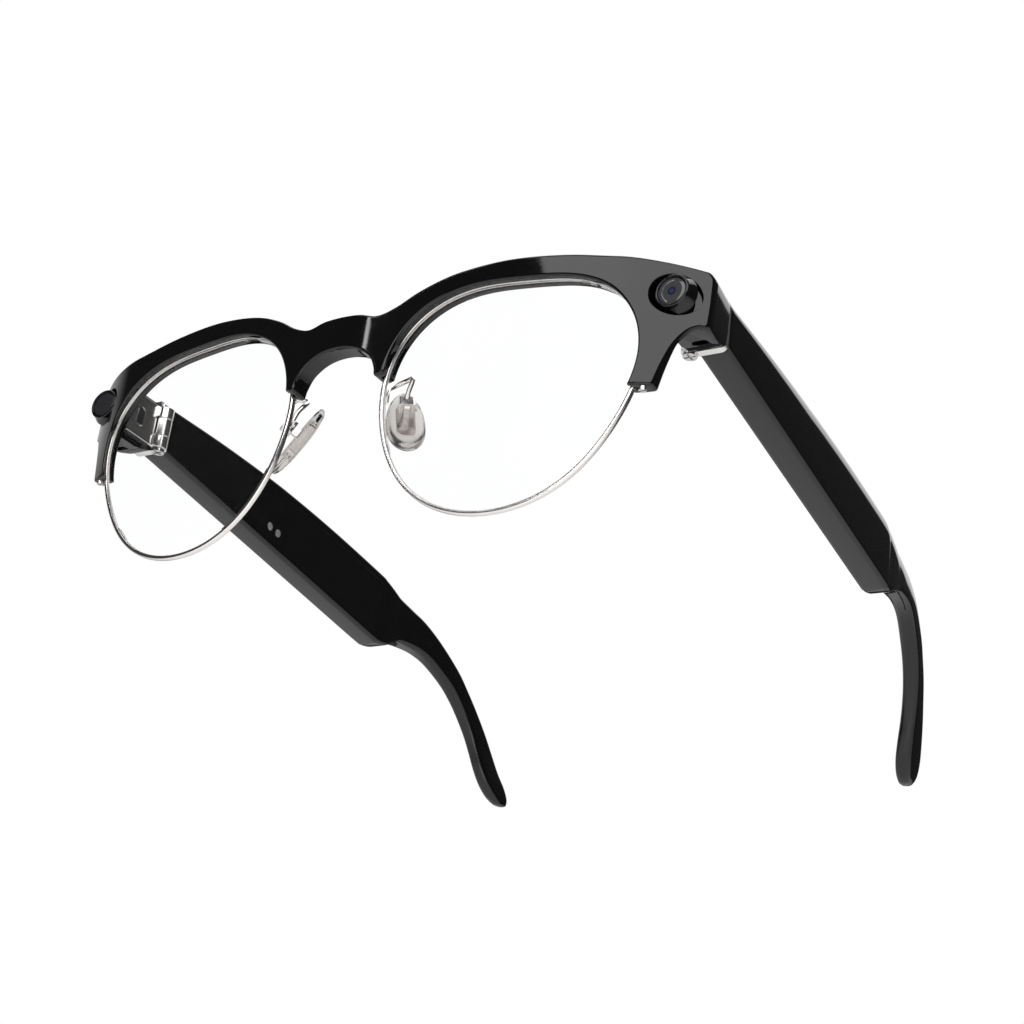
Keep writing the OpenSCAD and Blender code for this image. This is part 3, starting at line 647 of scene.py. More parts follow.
def brow_bar(material, edge_mm):
    """The bar as one skin: buffed edges, wire grooves, round seats for the corner barrels, screw wells."""
    outline = full_outline()
    flat = [p for p, _ in outline]
    kinds = [k for _, k in outline]
    normals = inward(flat)
    n = len(flat)
    points, faces = [], []
    edge_share = 0.35
    wall_steps = 7.0

    def add_row(inset, depth):
        """inset and depth give, for point i, the offset into the material and the y at its own x."""
        row = []
        for i in range(n):
            p = flat[i] + normals[i] * inset(i)
            row.append(len(points))
            points.append((p.x, depth(i, p.x), p.y))
        return row

    def edge_of(i):
        thick = bar_depth_at(flat[i].x, kinds[i])
        return min(edge_mm, thick * edge_share)

    def front_row(angle):
        s, c = math.sin(math.radians(angle)), math.cos(math.radians(angle))
        return add_row(lambda i: edge_of(i) * (1 - s), lambda i, x: front_y(x) + edge_of(i) * (1 - c))

    def back_row(angle):
        s, c = math.sin(math.radians(angle)), math.cos(math.radians(angle))

        def depth(i, x):
            y = front_y(x) + bar_depth_at(x, kinds[i])
            return y if kinds[i] == "end" else y - edge_of(i) * (1 - c)
        return add_row(lambda i: 0.0 if kinds[i] == "end" else edge_of(i) * (1 - s), depth)

    def wall_row(step, inset, offset):
        """A row between the two edges; groove points sit at offset from the wire's plane."""
        def depth(i, x):
            low = front_y(x) + edge_of(i)
            high = front_y(x) + bar_depth_at(x, kinds[i]) - (0 if kinds[i] == "end" else edge_of(i))
            if kinds[i] == "groove":
                return mid_y(flat[i].x) + offset
            return low + (high - low) * step / wall_steps
        return add_row(lambda i: inset if kinds[i] == "groove" else 0.0, depth)

    g, lip = GROOVE_HALF, 0.12
    rows = [add_row(lambda i: edge_of(i) + EDGE_STRIP, lambda i, x: front_y(x))]
    rows += [front_row(a) for a in (0, 30, 60, 90)]
    rows += [wall_row(1, 0.0, -g - lip), wall_row(2, lip, -g), wall_row(3, GROOVE_DEPTH, -g),
             wall_row(4, GROOVE_DEPTH, g), wall_row(5, lip, g), wall_row(6, 0.0, g + lip)]
    rows += [back_row(a) for a in (90, 60, 30, 0)]
    rows.append(add_row(lambda i: edge_of(i) + EDGE_STRIP,
                        lambda i, x: front_y(x) + bar_depth_at(x, kinds[i])))
    for a, b in zip(rows, rows[1:]):
        faces += [(a[i], a[(i + 1) % n], b[(i + 1) % n], b[i]) for i in range(n)]

    def cap(row, holes, hole_rows, height, spacing):
        """Closes a face of the bar round the rims of its wells."""
        inner, triangles = fill_face([(points[i][0], points[i][2]) for i in row], holes, spacing, height)
        ids = list(row) + [v for h in hole_rows for v in h]
        ids += range(len(points), len(points) + len(inner))
        points.extend(inner)
        faces.extend(tuple(ids[v] for v in t) for t in triangles)

    def sunk_hole(centre, r, steps, top, floor, edge):
        """A round well: its rim row lies on the face, its wall runs to the floor and a floor closes it."""
        sign = 1 if floor(centre[0]) > top(centre[0]) else -1
        sunk = []
        strip, turn = 0.06, 0.3
        for grow, depth in ((edge + strip, 0.0), (edge, 0.0), (edge * turn, edge * turn), (0.0, edge)):
            ring = circle(centre, r + grow, steps)
            sunk.append(list(range(len(points), len(points) + steps)))
            points.extend((p.x, top(p.x) + sign * depth, p.y) for p in ring)
        ring = circle(centre, r, steps)
        sunk.append(list(range(len(points), len(points) + steps)))
        points.extend((p.x, floor(p.x), p.y) for p in ring)
        for a, b in zip(sunk, sunk[1:]):
            faces.extend((a[i], a[(i + 1) % steps], b[(i + 1) % steps], b[i]) for i in range(steps))
        points.append((centre[0], floor(centre[0]), centre[1]))
        last = sunk[-1]
        faces.extend((last[i], last[(i + 1) % steps], len(points) - 1) for i in range(steps))
        return sunk[0]

    def seat_floor(x):
        return max(front_y(x) + SEAT_LEAST, SEAT_FLOOR)

    seats, seat_rows = [], []
    for side in (1, -1):
        centre = (side * BARREL[0], BARREL[1])
        row = sunk_hole(centre, BORE_R, 72, front_y, seat_floor, 0.12)
        seat_rows.append(row)
        seats.append([(points[v][0], points[v][2]) for v in row])
    front_spacing, back_spacing = 1.1, 1.4
    cap(rows[0], seats, seat_rows, lambda x, z: front_y(x), front_spacing)

    def back_height(x, z):
        margin = 0.4
        deep = abs(x) > END_X + margin and z > END_BOTTOM + margin
        return front_y(x) + bar_depth_at(x, "end" if deep else "plain")

    def screw_floor(x):
        return back_y(x) - SCREW_WELL_DEPTH

    wells, well_rows = [], []
    for side in (1, -1):
        for sx, sz in SCREWS:
            row = sunk_hole((side * sx, sz), SCREW_WELL_R, 24, back_y, screw_floor, 0.08)
            well_rows.append(row)
            wells.append([(points[v][0], points[v][2]) for v in row])
    cap(rows[-1], wells, well_rows, back_height, back_spacing)
    return make_piece("brow_bar", points, faces, material, "front",
                      ("brow_front", "brow_back"), sharp=HARD_EDGE)


def end_piece(name, side, material, edge_mm):
    """The block behind an outer corner: carries the hinge, with the microphone port in its underside."""
    loop = [p for p, kind in half_outline() if kind == "end"]
    inner_side = ((END_X + 0.6, END_BOTTOM), (END_X, END_BOTTOM), (END_X, 10.0), (END_X, 16.4))
    loop += [Vector(p) for p in inner_side]
    normals = inward(loop)
    taper = (END_BACK_X - END_X) / (CORNER_X - END_X)
    n = len(loop)
    points, rows = [], []
    rise_from, rise_height = 0.45, 6
    block_start = front_y(CORNER_X) + END_SKIN
    block_depth = END_Y - 9.0

    def add_row(inset, y, share):
        """One section of the block, share of the way back; y is None where it follows the front face."""
        rows.append(list(range(len(points), len(points) + n)))
        for p, m in zip(loop, normals):
            q = p + m * inset
            x = END_X + (q.x - END_X) * (1 - share * (1 - taper))
            lifted = max(0.0, share - rise_from) / (1 - rise_from)
            rise = END_RISE * lifted * max(0.0, 1 - (q.y - END_BOTTOM) / rise_height)
            points.append((x, front_y(q.x) + END_SKIN if y is None else y, q.y + rise))

    add_row(0.0, None, 0.0)
    for share in (0.35, 0.7):
        add_row(0.0, block_start + share * block_depth, share)
    for angle in (90, 60, 30, 0):
        s, c = math.sin(math.radians(angle)), math.cos(math.radians(angle))
        add_row(edge_mm * (1 - s), END_Y - edge_mm * c, 1.0)
    add_row(edge_mm + EDGE_STRIP, END_Y, 1.0)
    faces = [tuple(reversed(rows[0])), tuple(rows[-1])]
    for a, b in zip(rows, rows[1:]):
        faces += [(a[i], a[(i + 1) % n], b[(i + 1) % n], b[i]) for i in range(n)]
    obj = make_piece(name, points, faces, material, "front", side=side, sharp=HARD_EDGE)
    return cut_slot(obj, side, material)


def oblong_ring(centre, half, r, steps):
    """Points of a slot lying along x: two half circles."""
    out = []
    for i in range(steps):
        t = math.pi * i / (steps - 1) - math.pi / 2
        out.append((centre[0] + half + r * math.cos(t), centre[1] + r * math.sin(t)))
    return out + [(2 * centre[0] - x, 2 * centre[1] - y) for x, y in out]


def cut_slot(obj, side, material):
    """Cuts the microphone port into the underside of an end piece."""
    rings = [[(side * x, y, z) for x, y in oblong_ring(MIC_AT, MIC_HALF, MIC_R, 12)]
             for z in (END_BOTTOM - 1.0, END_BOTTOM + 0.5)]
    return carve(obj, rings, material)


# ---- repeated and path-following pieces ----
def geometry_tree(name, sockets):
    """An empty Geometry Nodes tree with its named inputs and its group nodes."""
    tree = bpy.data.node_groups.new(name, "GeometryNodeTree")
    for label, kind in [("Geometry", "Geometry")] + sockets:
        tree.interface.new_socket(label, in_out="INPUT", socket_type="NodeSocket" + kind)
    tree.interface.new_socket("Geometry", in_out="OUTPUT", socket_type="NodeSocketGeometry")
    return tree, tree.nodes.new("NodeGroupInput")


def end_tree(tree, entry, geometry):
    """Closes a tree: plain geometry with the finish set."""
    real = add_node(tree, "GeometryNodeRealizeInstances", {"Geometry": geometry})
    done = add_node(tree, "GeometryNodeSetMaterial",
                    {"Geometry": real.outputs[0], "Material": entry.outputs["Finish"]})
    add_node(tree, "NodeGroupOutput", {"Geometry": done.outputs[0]})
    return tree


def wire_tree():
    """Sweeps a section along the object's own curve."""
    tree, entry = geometry_tree("swept wire", [("Section", "Object"), ("Finish", "Material")])
    section = add_node(tree, "GeometryNodeObjectInfo", {"Object": entry.outputs["Section"]})
    sweep = add_node(tree, "GeometryNodeCurveToMesh", {"Curve": entry.outputs["Geometry"],
                                                       "Profile Curve": section.outputs["Geometry"],
                                                       "Fill Caps": True})
    return end_tree(tree, entry, sweep.outputs[0])


def screw_tree():
    """Sets one screw on each point of the object."""
    sockets = [("Screw", "Object"), ("Size", "Float"), ("Finish", "Material")]
    tree, entry = geometry_tree("screws at points", sockets)
    screw = add_node(tree, "GeometryNodeObjectInfo", {"Object": entry.outputs["Screw"], "As Instance": True})
    points = add_node(tree, "GeometryNodeMeshToPoints", {"Mesh": entry.outputs["Geometry"]})
    size = add_node(tree, "ShaderNodeCombineXYZ", {0: entry.outputs["Size"], 1: entry.outputs["Size"],
                                                   2: entry.outputs["Size"]})
    many = add_node(tree, "GeometryNodeInstanceOnPoints", {"Points": points.outputs[0],
                                                           "Instance": screw.outputs["Geometry"],
                                                           "Scale": size.outputs[0]})
    return end_tree(tree, entry, many.outputs[0])


def curve_object(name, points, cyclic):
    """A straight-segment curve through points."""
    curve = bpy.data.curves.new(name, "CURVE")
    curve.dimensions = "3D"
    spline = curve.splines.new("POLY")
    spline.points.add(len(points) - 1)
    for slot, p in zip(spline.points, points):
        slot.co = (*p, 1.0)
    spline.use_cyclic_u = cyclic
    obj = bpy.data.objects.new(name, curve)
    bpy.context.scene.collection.objects.link(obj)
    return obj


def grown(obj, tree, **values):
    """Runs a tree on an object with its inputs set and returns the plain points and faces."""
    mod = obj.modifiers.new(tree.name, "NODES")
    mod.node_group = tree
    names = {s.name: s.identifier for s in tree.interface.items_tree if s.in_out == "INPUT"}
    for label, value in values.items():
        mod[names[label]] = value
    bpy.context.view_layer.update()
    graph = bpy.context.evaluated_depsgraph_get()
    mesh = bpy.data.meshes.new_from_object(obj.evaluated_get(graph))
    obj.modifiers.clear()
    points = [tuple(v.co) for v in mesh.vertices]
    faces = [tuple(p.vertices) for p in mesh.polygons]
    bpy.data.meshes.remove(mesh)
    bpy.data.objects.remove(obj)
    return points, faces


def rounded_loop(corners, r, steps=6):
    """Closed section through corners, each turned at radius r or at its own third value; 0 is sharp."""
    out = []
    n = len(corners)
    for i, corner in enumerate(corners):
        here = Vector(corner[:2])
        before = (Vector(corners[i - 1][:2]) - here).normalized()
        after = (Vector(corners[(i + 1) % n][:2]) - here).normalized()
        radius = corner[2] if len(corner) > 2 else r
        if radius == 0:
            out.append(here)
            continue
        half = before.angle(after) / 2
        reach = radius / math.tan(half)
        start, stop = here + before * reach, here + after * reach
        centre = here + (before + after).normalized() * radius / math.sin(half)
        a, b = start - centre, stop - centre
        turn = a.angle_signed(b)
        for j in range(steps):
            t = -turn * j / (steps - 1)
            c, s = math.cos(t), math.sin(t)
            out.append(centre + Vector((a.x * c - a.y * s, a.x * s + a.y * c)))
    return out


# ---- rims and lenses, in the lens's own plane; GROW is how far an edge lies outside the outline ----
LOOP_STEPS = 240
LENS_MIDDLE = Vector((0.0, -6.5))
LENS_HALF = 0.5
LENS_GROW = -0.55
TONGUE_GROW = -0.2
BEVEL_HALF = 0.24
TONGUE_HALF = 0.18
RIM_OUTER_R = 0.3
RIM_SECTION = [(-0.55, 0.42), (-0.55, -0.42), (-0.22, -0.42, 0.06), (-0.22, -0.12, 0.04), (0.22, -0.12, 0.04),
               (0.22, -0.42, 0.06), (0.55, -0.42), (0.55, 0.42)]


def in_lens_plane(points, side):
    """Lens-plane points (across, up, depth) to the design frame."""
    c, s = math.cos(WRAP), math.sin(WRAP)
    return [(side * (LENS_X + x * c - d * s), x * s + d * c, z) for x, z, d in points]


def rim(name, side, material, cad):
    """The wire round a lens: rounded outside, with a groove inside that holds the lens."""
    around = [outline_at(360 * i / LOOP_STEPS, 0.0) for i in range(LOOP_STEPS)]
    path = curve_object("rim path", [(*p, 0.0) for p in around], True)
    outline = rounded_loop(RIM_SECTION, RIM_OUTER_R)
    section = curve_object("rim section", [(p.y, p.x, 0.0) for p in outline], True)
    path.data.twist_mode = "Z_UP"
    points, faces = grown(path, wire_tree(), Section=section, Finish=material)
    bpy.data.objects.remove(section)
    return make_piece(name, in_lens_plane(points, side), faces, material, "front", cad)


def lens(name, side, material, cad, sag):
    """A curved plate with a bevelled edge that runs in the rim's groove."""
    steps, rings = LOOP_STEPS, 12
    edge = [outline_at(360 * i / steps, LENS_GROW) for i in range(steps)]
    tongue = [outline_at(360 * i / steps, TONGUE_GROW) for i in range(steps)]

    def ring(loop, share, depth):
        return [(*(LENS_MIDDLE + (p - LENS_MIDDLE) * share), depth) for p in loop]

    rows = []
    for k in range(1, rings + 1):
        s = k / rings
        rows.append(ring(edge, s, -LENS_HALF - sag * (1 - s * s)))
    rows += [ring(edge, 1.0, -BEVEL_HALF), ring(tongue, 1.0, -TONGUE_HALF),
             ring(tongue, 1.0, TONGUE_HALF), ring(edge, 1.0, BEVEL_HALF)]
    for k in range(rings, 0, -1):
        s = k / rings
        rows.append(ring(edge, s, LENS_HALF - sag * (1 - s * s)))
    faces = loft_faces(rows, caps=False)
    points = [p for row in rows for p in row]
    last = (len(rows) - 1) * steps
    for depth, start in ((-LENS_HALF - sag, 0), (LENS_HALF - sag, last)):
        points.append((*LENS_MIDDLE, depth))
        faces += [(start + i, start + (i + 1) % steps, len(points) - 1) for i in range(steps)]
    return make_piece(name, in_lens_plane(points, side), faces, material, "front", cad,
                      LENS_EDGE)


# ---- corner barrels ----
def corner_barrel(name, side, material, cad):
    """The stepped ring in a corner of the bar, with a well for its window."""
    profile = [(0.0, 3.15), (2.6, 3.15), (2.6, 2.35), (2.7, 2.14), (2.78, 2.1), (2.98, 2.1), (3.1, 2.15),
               (3.18, 2.25), (3.2, 2.4), (3.2, 2.85), (3.24, 2.95), (3.84, 4.04), (3.9, 4.15), (3.9, 4.6),
               (0.0, 4.6)]
    return lathe(name, profile, (side * BARREL[0], BARREL[1]), material, cad)


def corner_window(name, side, material, cad):
    """A flat disc with a broken edge in the barrel's well."""
    profile = [(0.0, 2.35), (0.9, 2.35), (1.8, 2.35), (2.46, 2.35), (2.53, 2.38), (2.57, 2.44), (2.57, 3.14),
               (0.0, 3.14)]
    return lathe(name, profile, (side * BARREL[0], BARREL[1]), material, cad)


# ---- nose pads ----
# where a pad sits and how it is turned, its half sizes, and the pivot of its arm's box in pad points
PAD_AT = Vector((12, 3.3, -6.6))
PAD_TURN = Euler([math.radians(a) for a in (-26, -7, 39)]).to_matrix()
PAD_HALF = (3.6, 1.3, 8.1)
PAD_DROP = 0.08
PAD_EDGE = 60.0
PIVOT_Y, PIVOT_Z = -3.0, 1.2


def at_pad(points):
    """Pad points to the design frame."""
    return [PAD_TURN @ Vector(p) + PAD_AT for p in points]


def nose_pad(name, side, material, body, cad):
    """A soft drop-shaped cushion, fuller at its lower end."""
    rings, steps = 40, 40
    rows = []
    for i in range(1, rings):
        t = -math.cos(math.pi * i / rings)
        k = math.sqrt(1 - abs(t) ** 2.3)
        w, h = PAD_HALF[0] * k * (1 - PAD_DROP * t), PAD_HALF[1] * k ** 0.7
        rows.append(at_pad([(w * math.cos(a), h * math.sin(a) - 0.5 * (1 - k), PAD_HALF[2] * t)
                            for a in (2 * math.pi * j / steps for j in range(steps))]))
    obj = loft(name, rows, material, body, cad, sharp=PAD_EDGE, side=side)
    return obj


def pad_arm(name, side, material, cad, wire_r):
    """The bent wire from the rim to the pad, ending in the small box that the pad rocks in."""
    box_top = Vector(at_pad([(0, PIVOT_Y - 1.15, PIVOT_Z + 0.9)])[0])
    route = [(10.5, -1.3, -4.6), (10.1, -0.8, -2.6), (9.6, 0.2, -0.8), (10.1, 1.6, 0.7), (11.8, 2.1, 1.6),
             (13.5, 1.5, 1.3), box_top + Vector((0.15, -0.15, 1.1)), box_top - Vector((0, 0, 0.6))]
    path = curve_object("arm path", smooth(route, CURVE_STEPS), False)
    section = curve_object("arm section", [(wire_r * math.cos(a), wire_r * math.sin(a), 0.0)
                                           for a in (2 * math.pi * i / 20 for i in range(20))], True)
    points, faces = grown(path, wire_tree(), Section=section, Finish=material)
    bpy.data.objects.remove(section)
    return make_piece(name, points, faces, material, "front", cad, side=side)


def pad_box(name, side, material):
    """The open box on the arm: a back plate and two cheeks."""
    y0, y1 = PIVOT_Y - 1.4, PIVOT_Y + 0.7
    low, high = PIVOT_Z - 1.2, PIVOT_Z + 1.2
    section = [(-1.45, y1, 0.15), (-1.45, y0, 0.4), (1.45, y0, 0.4), (1.45, y1, 0.15), (0.7, y1, 0.15),
               (0.7, y0 + 0.4, 0.1), (-0.7, y0 + 0.4, 0.1), (-0.7, y1, 0.15)]
    loop = rounded_loop(section, 0.15, 5)
    normals = inward(loop)
    rings = []
    for z, inset in ((low, 0.08), (low + 0.08, 0.0), (high - 0.08, 0.0), (high, 0.08)):
        rings.append(at_pad([(*(p - m * inset), z) for p, m in zip(loop, normals)]))
    return loft(name, rings, material, "front", side=side)


# ---- temples ----
# toe-in, then the pod: its width, its middle across, where it starts, and the arch of its top
TOE = math.radians(0.6)
POD_T = 6.2
POD_MID = 3.55
POD_START = 0.92
TOP_RISE, TOP_BEND = 0.018, 0.00096

# how far the inner cover stands proud, the crown's extra height, the corners, and the edge plate's size
COVER_PROUD = 0.05
CROWN_LIFT = 0.2
CORNER_R = 1.1
PLATE_SPAN = (5.95, 17.65)
PLATE_PROUD = 0.5


def pod_low(y):
    """The pod's lower edge: a straight line that falls away from the hinge."""
    return 7 - 0.1325 * (y - POD_START)


def pod_high(y):
    """The pod's upper edge: a shallow arch."""
    return 17.3 + TOP_RISE * (y - POD_START) - TOP_BEND * (y - POD_START) ** 2


# each station: lower point and upper point (back, up), width, and how far the section leans inwards
STATIONS = [((y, pod_low(y)), (y, pod_high(y)), POD_T, 0.0) for y in (POD_START, 20.0, 40.0, 60.0, 81.0)] + [
    ((84.5, -3.9), (84.5, 11.9), 6.1, 0.05), ((87.6, -3.2), (87.4, 11.1), 5.9, 0.1),
    ((90.4, -1.7), (89.6, 10.5), 5.6, 0.15), ((93, -0.5), (91.6, 10), 5.3, 0.25),
    ((97, 0.1), (97, 9.2), 4.9, 0.5), ((102, 0.2), (103.5, 8), 4.5, 1), ((107, -0.9), (110.4, 5.3), 4.2, 1.8),
    ((113, -4), (117.2, 0.9), 4.1, 3.1), ((117, -7.2), (121.4, -3.1), 4, 4),
    ((120, -10.7), (125.4, -7.6), 3.9, 4.9), ((122.4, -14.5), (128.7, -12.2), 3.8, 5.9),
    ((124, -18), (131.3, -16.6), 3.8, 6.8), ((125.4, -21.8), (133.7, -21), 3.8, 7.8),
    ((127.2, -25.4), (135.9, -24.3), 3.7, 8.8), ((129.6, -28), (136.9, -27), 3.3, 9.6),
    ((131.8, -29.2), (136.4, -28.7), 2.4, 10.1), ((133.2, -29.45), (135, -29.3), 1.2, 10.3)]


def temple_ring(low, high, t, lean, r, crown, steps=9):
    """Section between a lower and an upper point; crown is the (across, up) size of the outer top corner's
    curve, and the other corners are turned at r."""
    up = high - low
    h = up.length
    u = up / h
    flat = 0.15
    fine = min(r, t / 2.02, h / 2.02)
    across, tall = min(crown[0], t - fine - flat), min(crown[1], h - fine - flat)
    inner = COVER_PROUD - t / 2
    corners = [(t / 2, h, across, tall), (inner, h, fine, fine), (inner, 0.0, fine, fine),
               (t / 2, 0.0, fine, fine)]
    out = []
    for q, (x, z, rx, rz) in enumerate(corners):
        cx = x - rx if q in (0, 3) else x + rx
        cz = z - rz if q in (0, 1) else z + rz
        count = 2 * steps if q == 0 else steps
        for i in range(count):
            a = math.radians(90 * q + 90 * i / (count - 1))
            px, pz = cx + rx * math.cos(a), cz + rz * math.sin(a)
            out.append((POD_MID - lean + px, low.x + u.x * pz, low.y + u.y * pz))
    return out


def in_temple(points):
    """Temple points to the design frame: the temple toes in at its hinge."""
    c, s = math.cos(TOE), math.sin(TOE)
    return [(HINGE[0] + x * c - y * s, HINGE[1] + x * s + y * c, z) for x, y, z in points]


def share_between(y, start, stop):
    """How far y is from start to stop, held between 0 and 1."""
    return min(1.0, max(0.0, (y - start) / (stop - start)))


def crown_at(y):
    """The outer top corner's curve: small at the hinge, tall and soft along the pod, small at the tip."""
    grow = share_between(y, 2.0, 40.0)
    shrink = share_between(y, 100.0, 120.0)
    tip = 2.0
    full = (2.6 + 0.6 * grow, 3.0 + 3.6 * grow)
    return tuple(size + (tip - size) * shrink for size in full)


def shrunk(ring, share):
    """A ring drawn in towards its own middle."""
    middle = sum((Vector(p) for p in ring), Vector()) / len(ring)
    return [tuple(middle + (Vector(p) - middle) * share) for p in ring]


def temple(name, side, material, body, cad):
    """One polished arm: the electronics pod, the sweep down behind the ear and the tip."""
    spans = 6
    lows = smooth([s[0] for s in STATIONS], spans)
    highs = smooth([s[1] for s in STATIONS], spans)
    widths = smooth([(s[2], s[3]) for s in STATIONS], spans)
    rings = []
    for low, high, (t, lean) in zip(lows, highs, widths):
        crown = crown_at(high.x)
        lift = CROWN_LIFT * (crown[1] - 2.6) * (high - low).normalized()
        r = CORNER_R + 0.4 * share_between(low.x, 88.0, 98.0)
        rings.append(temple_ring(low, high + lift, t, lean, r, crown))
    face = shrunk(rings[0], 0.985)
    rings[0] = [(x, y + 0.1, z) for x, y, z in rings[0]]
    ends = [shrunk(rings[-1], share) for share in (0.7, 0.35)]
    rings = [in_temple(ring) for ring in [face] + rings + ends]
    return loft(name, rings, material, body, cad, sharp=SHARP_EDGE, side=side)


def temple_plate(name, side, material, body):
    """The bright plate between an end piece and its temple, a little larger than the temple's own section."""
    low, high = PLATE_SPAN
    rings = []
    for y, inset in ((-0.72, 0.12), (-0.6, 0.0), (0.85, 0.0), (0.93, 0.08)):
        rings.append(temple_ring(Vector((y, low + inset)), Vector((y, high - inset)),
                                 POD_T + PLATE_PROUD - 2 * inset, 0.0, 1.3, (2.7, 3.1)))
    rings = [in_temple(ring) for ring in rings]
    return loft(name, rings, material, body, sharp=SHARP_EDGE, side=side)


BUTTON_Y = 22.0
BUTTON_SLOPE = math.atan(2 * TOP_BEND * (BUTTON_Y - POD_START) - TOP_RISE)
WELL_LENGTH, WELL_WIDTH = 9.3, 2.9


def button_well(obj, material):
    """Cuts the clearance round the capture button into the top of the right temple."""
    turn = Matrix.Rotation(-BUTTON_SLOPE, 3, "X")
    at = Vector((POD_MID, BUTTON_Y, pod_high(BUTTON_Y)))
    rings = []
    for z in (-1.2, 3.0):
        flat = oblong_ring((0.0, 0.0), (WELL_LENGTH - WELL_WIDTH) / 2, WELL_WIDTH / 2, 12)
        rings.append(in_temple([turn @ Vector((v, u, z)) + at for u, v in flat]))
    return carve(obj, [mirrored(r, -1) for r in rings], material)


def carve(obj, rings, material):
    """Cuts the solid between two rings out of a piece."""
    mesh = bpy.data.meshes.new("cutter")
    mesh.from_pydata(place([p for ring in rings for p in ring]), [], loft_faces(rings))
    cutter = bpy.data.objects.new("cutter", mesh)
    bpy.context.scene.collection.objects.link(cutter)
    tidy_mesh(cutter, HARD_EDGE)
    cut = obj.modifiers.new("cut", "BOOLEAN")
    cut.operation = "DIFFERENCE"
    cut.solver = "EXACT"
    cut.object = cutter
    apply_modifiers(obj)
    tidy_mesh(obj, SHARP_EDGE)
    obj.data.materials.clear()
    obj.data.materials.append(material)
    bpy.data.objects.remove(cutter)
    return obj


# ---- screws ----
def socket_screw():
    """One screw along Y, its head outward: a domed rim round a hexagonal socket."""
    steps = 48
    socket_half = 0.32
    profile = [(0.4, -3.0), (0.4, -0.42), (0.72, -0.42), (0.76, -0.36), (0.76, -0.1), (0.7, -0.02),
               (0.6, 0.0)]
    turns = [2 * math.pi * i / steps for i in range(steps)]
    rows = [[(r * math.cos(a), y, r * math.sin(a)) for a in turns] for r, y in profile]
    for grow, y in ((0.03, 0.0), (0.0, -0.03), (0.0, -0.28)):
        row = []
        for a in turns:
            r = (socket_half + grow) / math.cos((a % (math.pi / 3)) - math.pi / 6)
            row.append((r * math.cos(a), y, r * math.sin(a)))
        rows.append(row)
    mesh = bpy.data.meshes.new("socket screw")
    mesh.from_pydata([p for row in rows for p in row], [], loft_faces(rows))
    obj = bpy.data.objects.new("socket screw", mesh)
    bpy.context.scene.collection.objects.link(obj)
    return obj


def bar_screws(material, size):
    """The four screws that hold the two halves of the bar together."""
    sites = [(side * x, back_y(x) - 0.1, z) for side in (1, -1) for x, z in SCREWS]
    mesh = bpy.data.meshes.new("screw sites")
    mesh.from_pydata(sites, [], [])
    holder = bpy.data.objects.new("screw sites", mesh)
    bpy.context.scene.collection.objects.link(holder)
    screw = socket_screw()
    points, faces = grown(holder, screw_tree(), Screw=screw, Size=size, Finish=material)
    bpy.data.objects.remove(screw)
    return make_piece("bar_screws", points, faces, material, "front", ("brow_screws",))


# ---- stage ----
FLOOR_HALF = 3.0
SENSOR_WIDTH = 36.0

# the camera's place and directions in the design frame
CAMERA_AT = Vector((200.09, -242.38, -162.98))
CAMERA_RIGHT = Vector((0.8562, 0.5033, 0.1164))
CAMERA_UP = Vector((0.1218, -0.4157, 0.9013))
VIEW = Vector((-0.5021, 0.7575, 0.4172))


def glow(tree, direction, towards, inner, outer, strength):
    """A soft round patch of studio wall: full within the inner angle, gone past the outer, in degrees."""
    aim = add_node(tree, "ShaderNodeVectorMath", {0: direction, 1: tuple(Vector(towards).normalized())},
                   operation="DOT_PRODUCT").outputs["Value"]
    edge, full = math.cos(math.radians(outer)), math.cos(math.radians(inner))
    inputs = {"Value": aim, "From Min": edge, "From Max": full, "To Min": 0.0, "To Max": strength}
    return add_node(tree, "ShaderNodeMapRange", inputs, interpolation_type="SMOOTHSTEP").outputs[0]


def studio_world(dark, wall, side_wall, ambient):
    """A dim room with a lit paper wall behind the glasses. Seen directly, or through a lens, it is white."""
    world = bpy.data.worlds.new("studio")
    bpy.context.scene.world = world
    world.use_nodes = True
    tree = world.node_tree
    tree.nodes.clear()
    direction = add_node(tree, "ShaderNodeTexCoord").outputs["Generated"]
    patches = [glow(tree, direction, (-0.25, 0.75, 0.62), 23.5, 25.5, wall),
               glow(tree, direction, (-0.9, 0.3, 0.1), 15.0, 40.0, side_wall)]
    total = dark
    for patch in patches:
        total = add_node(tree, "ShaderNodeMath", {0: total, 1: patch}, operation="ADD").outputs[0]
    ray = add_node(tree, "ShaderNodeLightPath")
    level = add_node(tree, "ShaderNodeMath", {0: ray.outputs["Is Diffuse Ray"], 1: ambient, 2: total},
                     operation="MULTIPLY_ADD")
    dim = add_node(tree, "ShaderNodeBackground", {"Color": srgb("#FFFFFF"), "Strength": level.outputs[0]})
    paper = add_node(tree, "ShaderNodeBackground", {"Color": srgb("#FFFFFF"), "Strength": 1.0})
    rays = {0: ray.outputs["Is Camera Ray"], 1: ray.outputs["Is Transmission Ray"]}
    seen = add_node(tree, "ShaderNodeMath", rays, operation="MAXIMUM")
    mix = add_node(tree, "ShaderNodeMixShader", {0: seen.outputs[0], 1: dim.outputs[0], 2: paper.outputs[0]})
    add_node(tree, "ShaderNodeOutputWorld", {"Surface": mix.outputs[0]})


def softbox(name, centre, towards, distance, size, radiance):
    """A square-cornered light of a given brightness, facing the glasses and unseen by the camera."""
    light = bpy.data.lights.new(name, "AREA")
    light.shape = "RECTANGLE"
    light.size, light.size_y = size
    light.energy = radiance * math.pi * size[0] * size[1]
    obj = bpy.data.objects.new(name, light)
    aim = Vector(towards).normalized()
    obj.location = centre + aim * distance
    obj.rotation_euler = (-aim).to_track_quat("-Z", "Y").to_euler()
    obj.visible_camera = False
    obj.visible_transmission = False
    bpy.context.scene.collection.objects.link(obj)


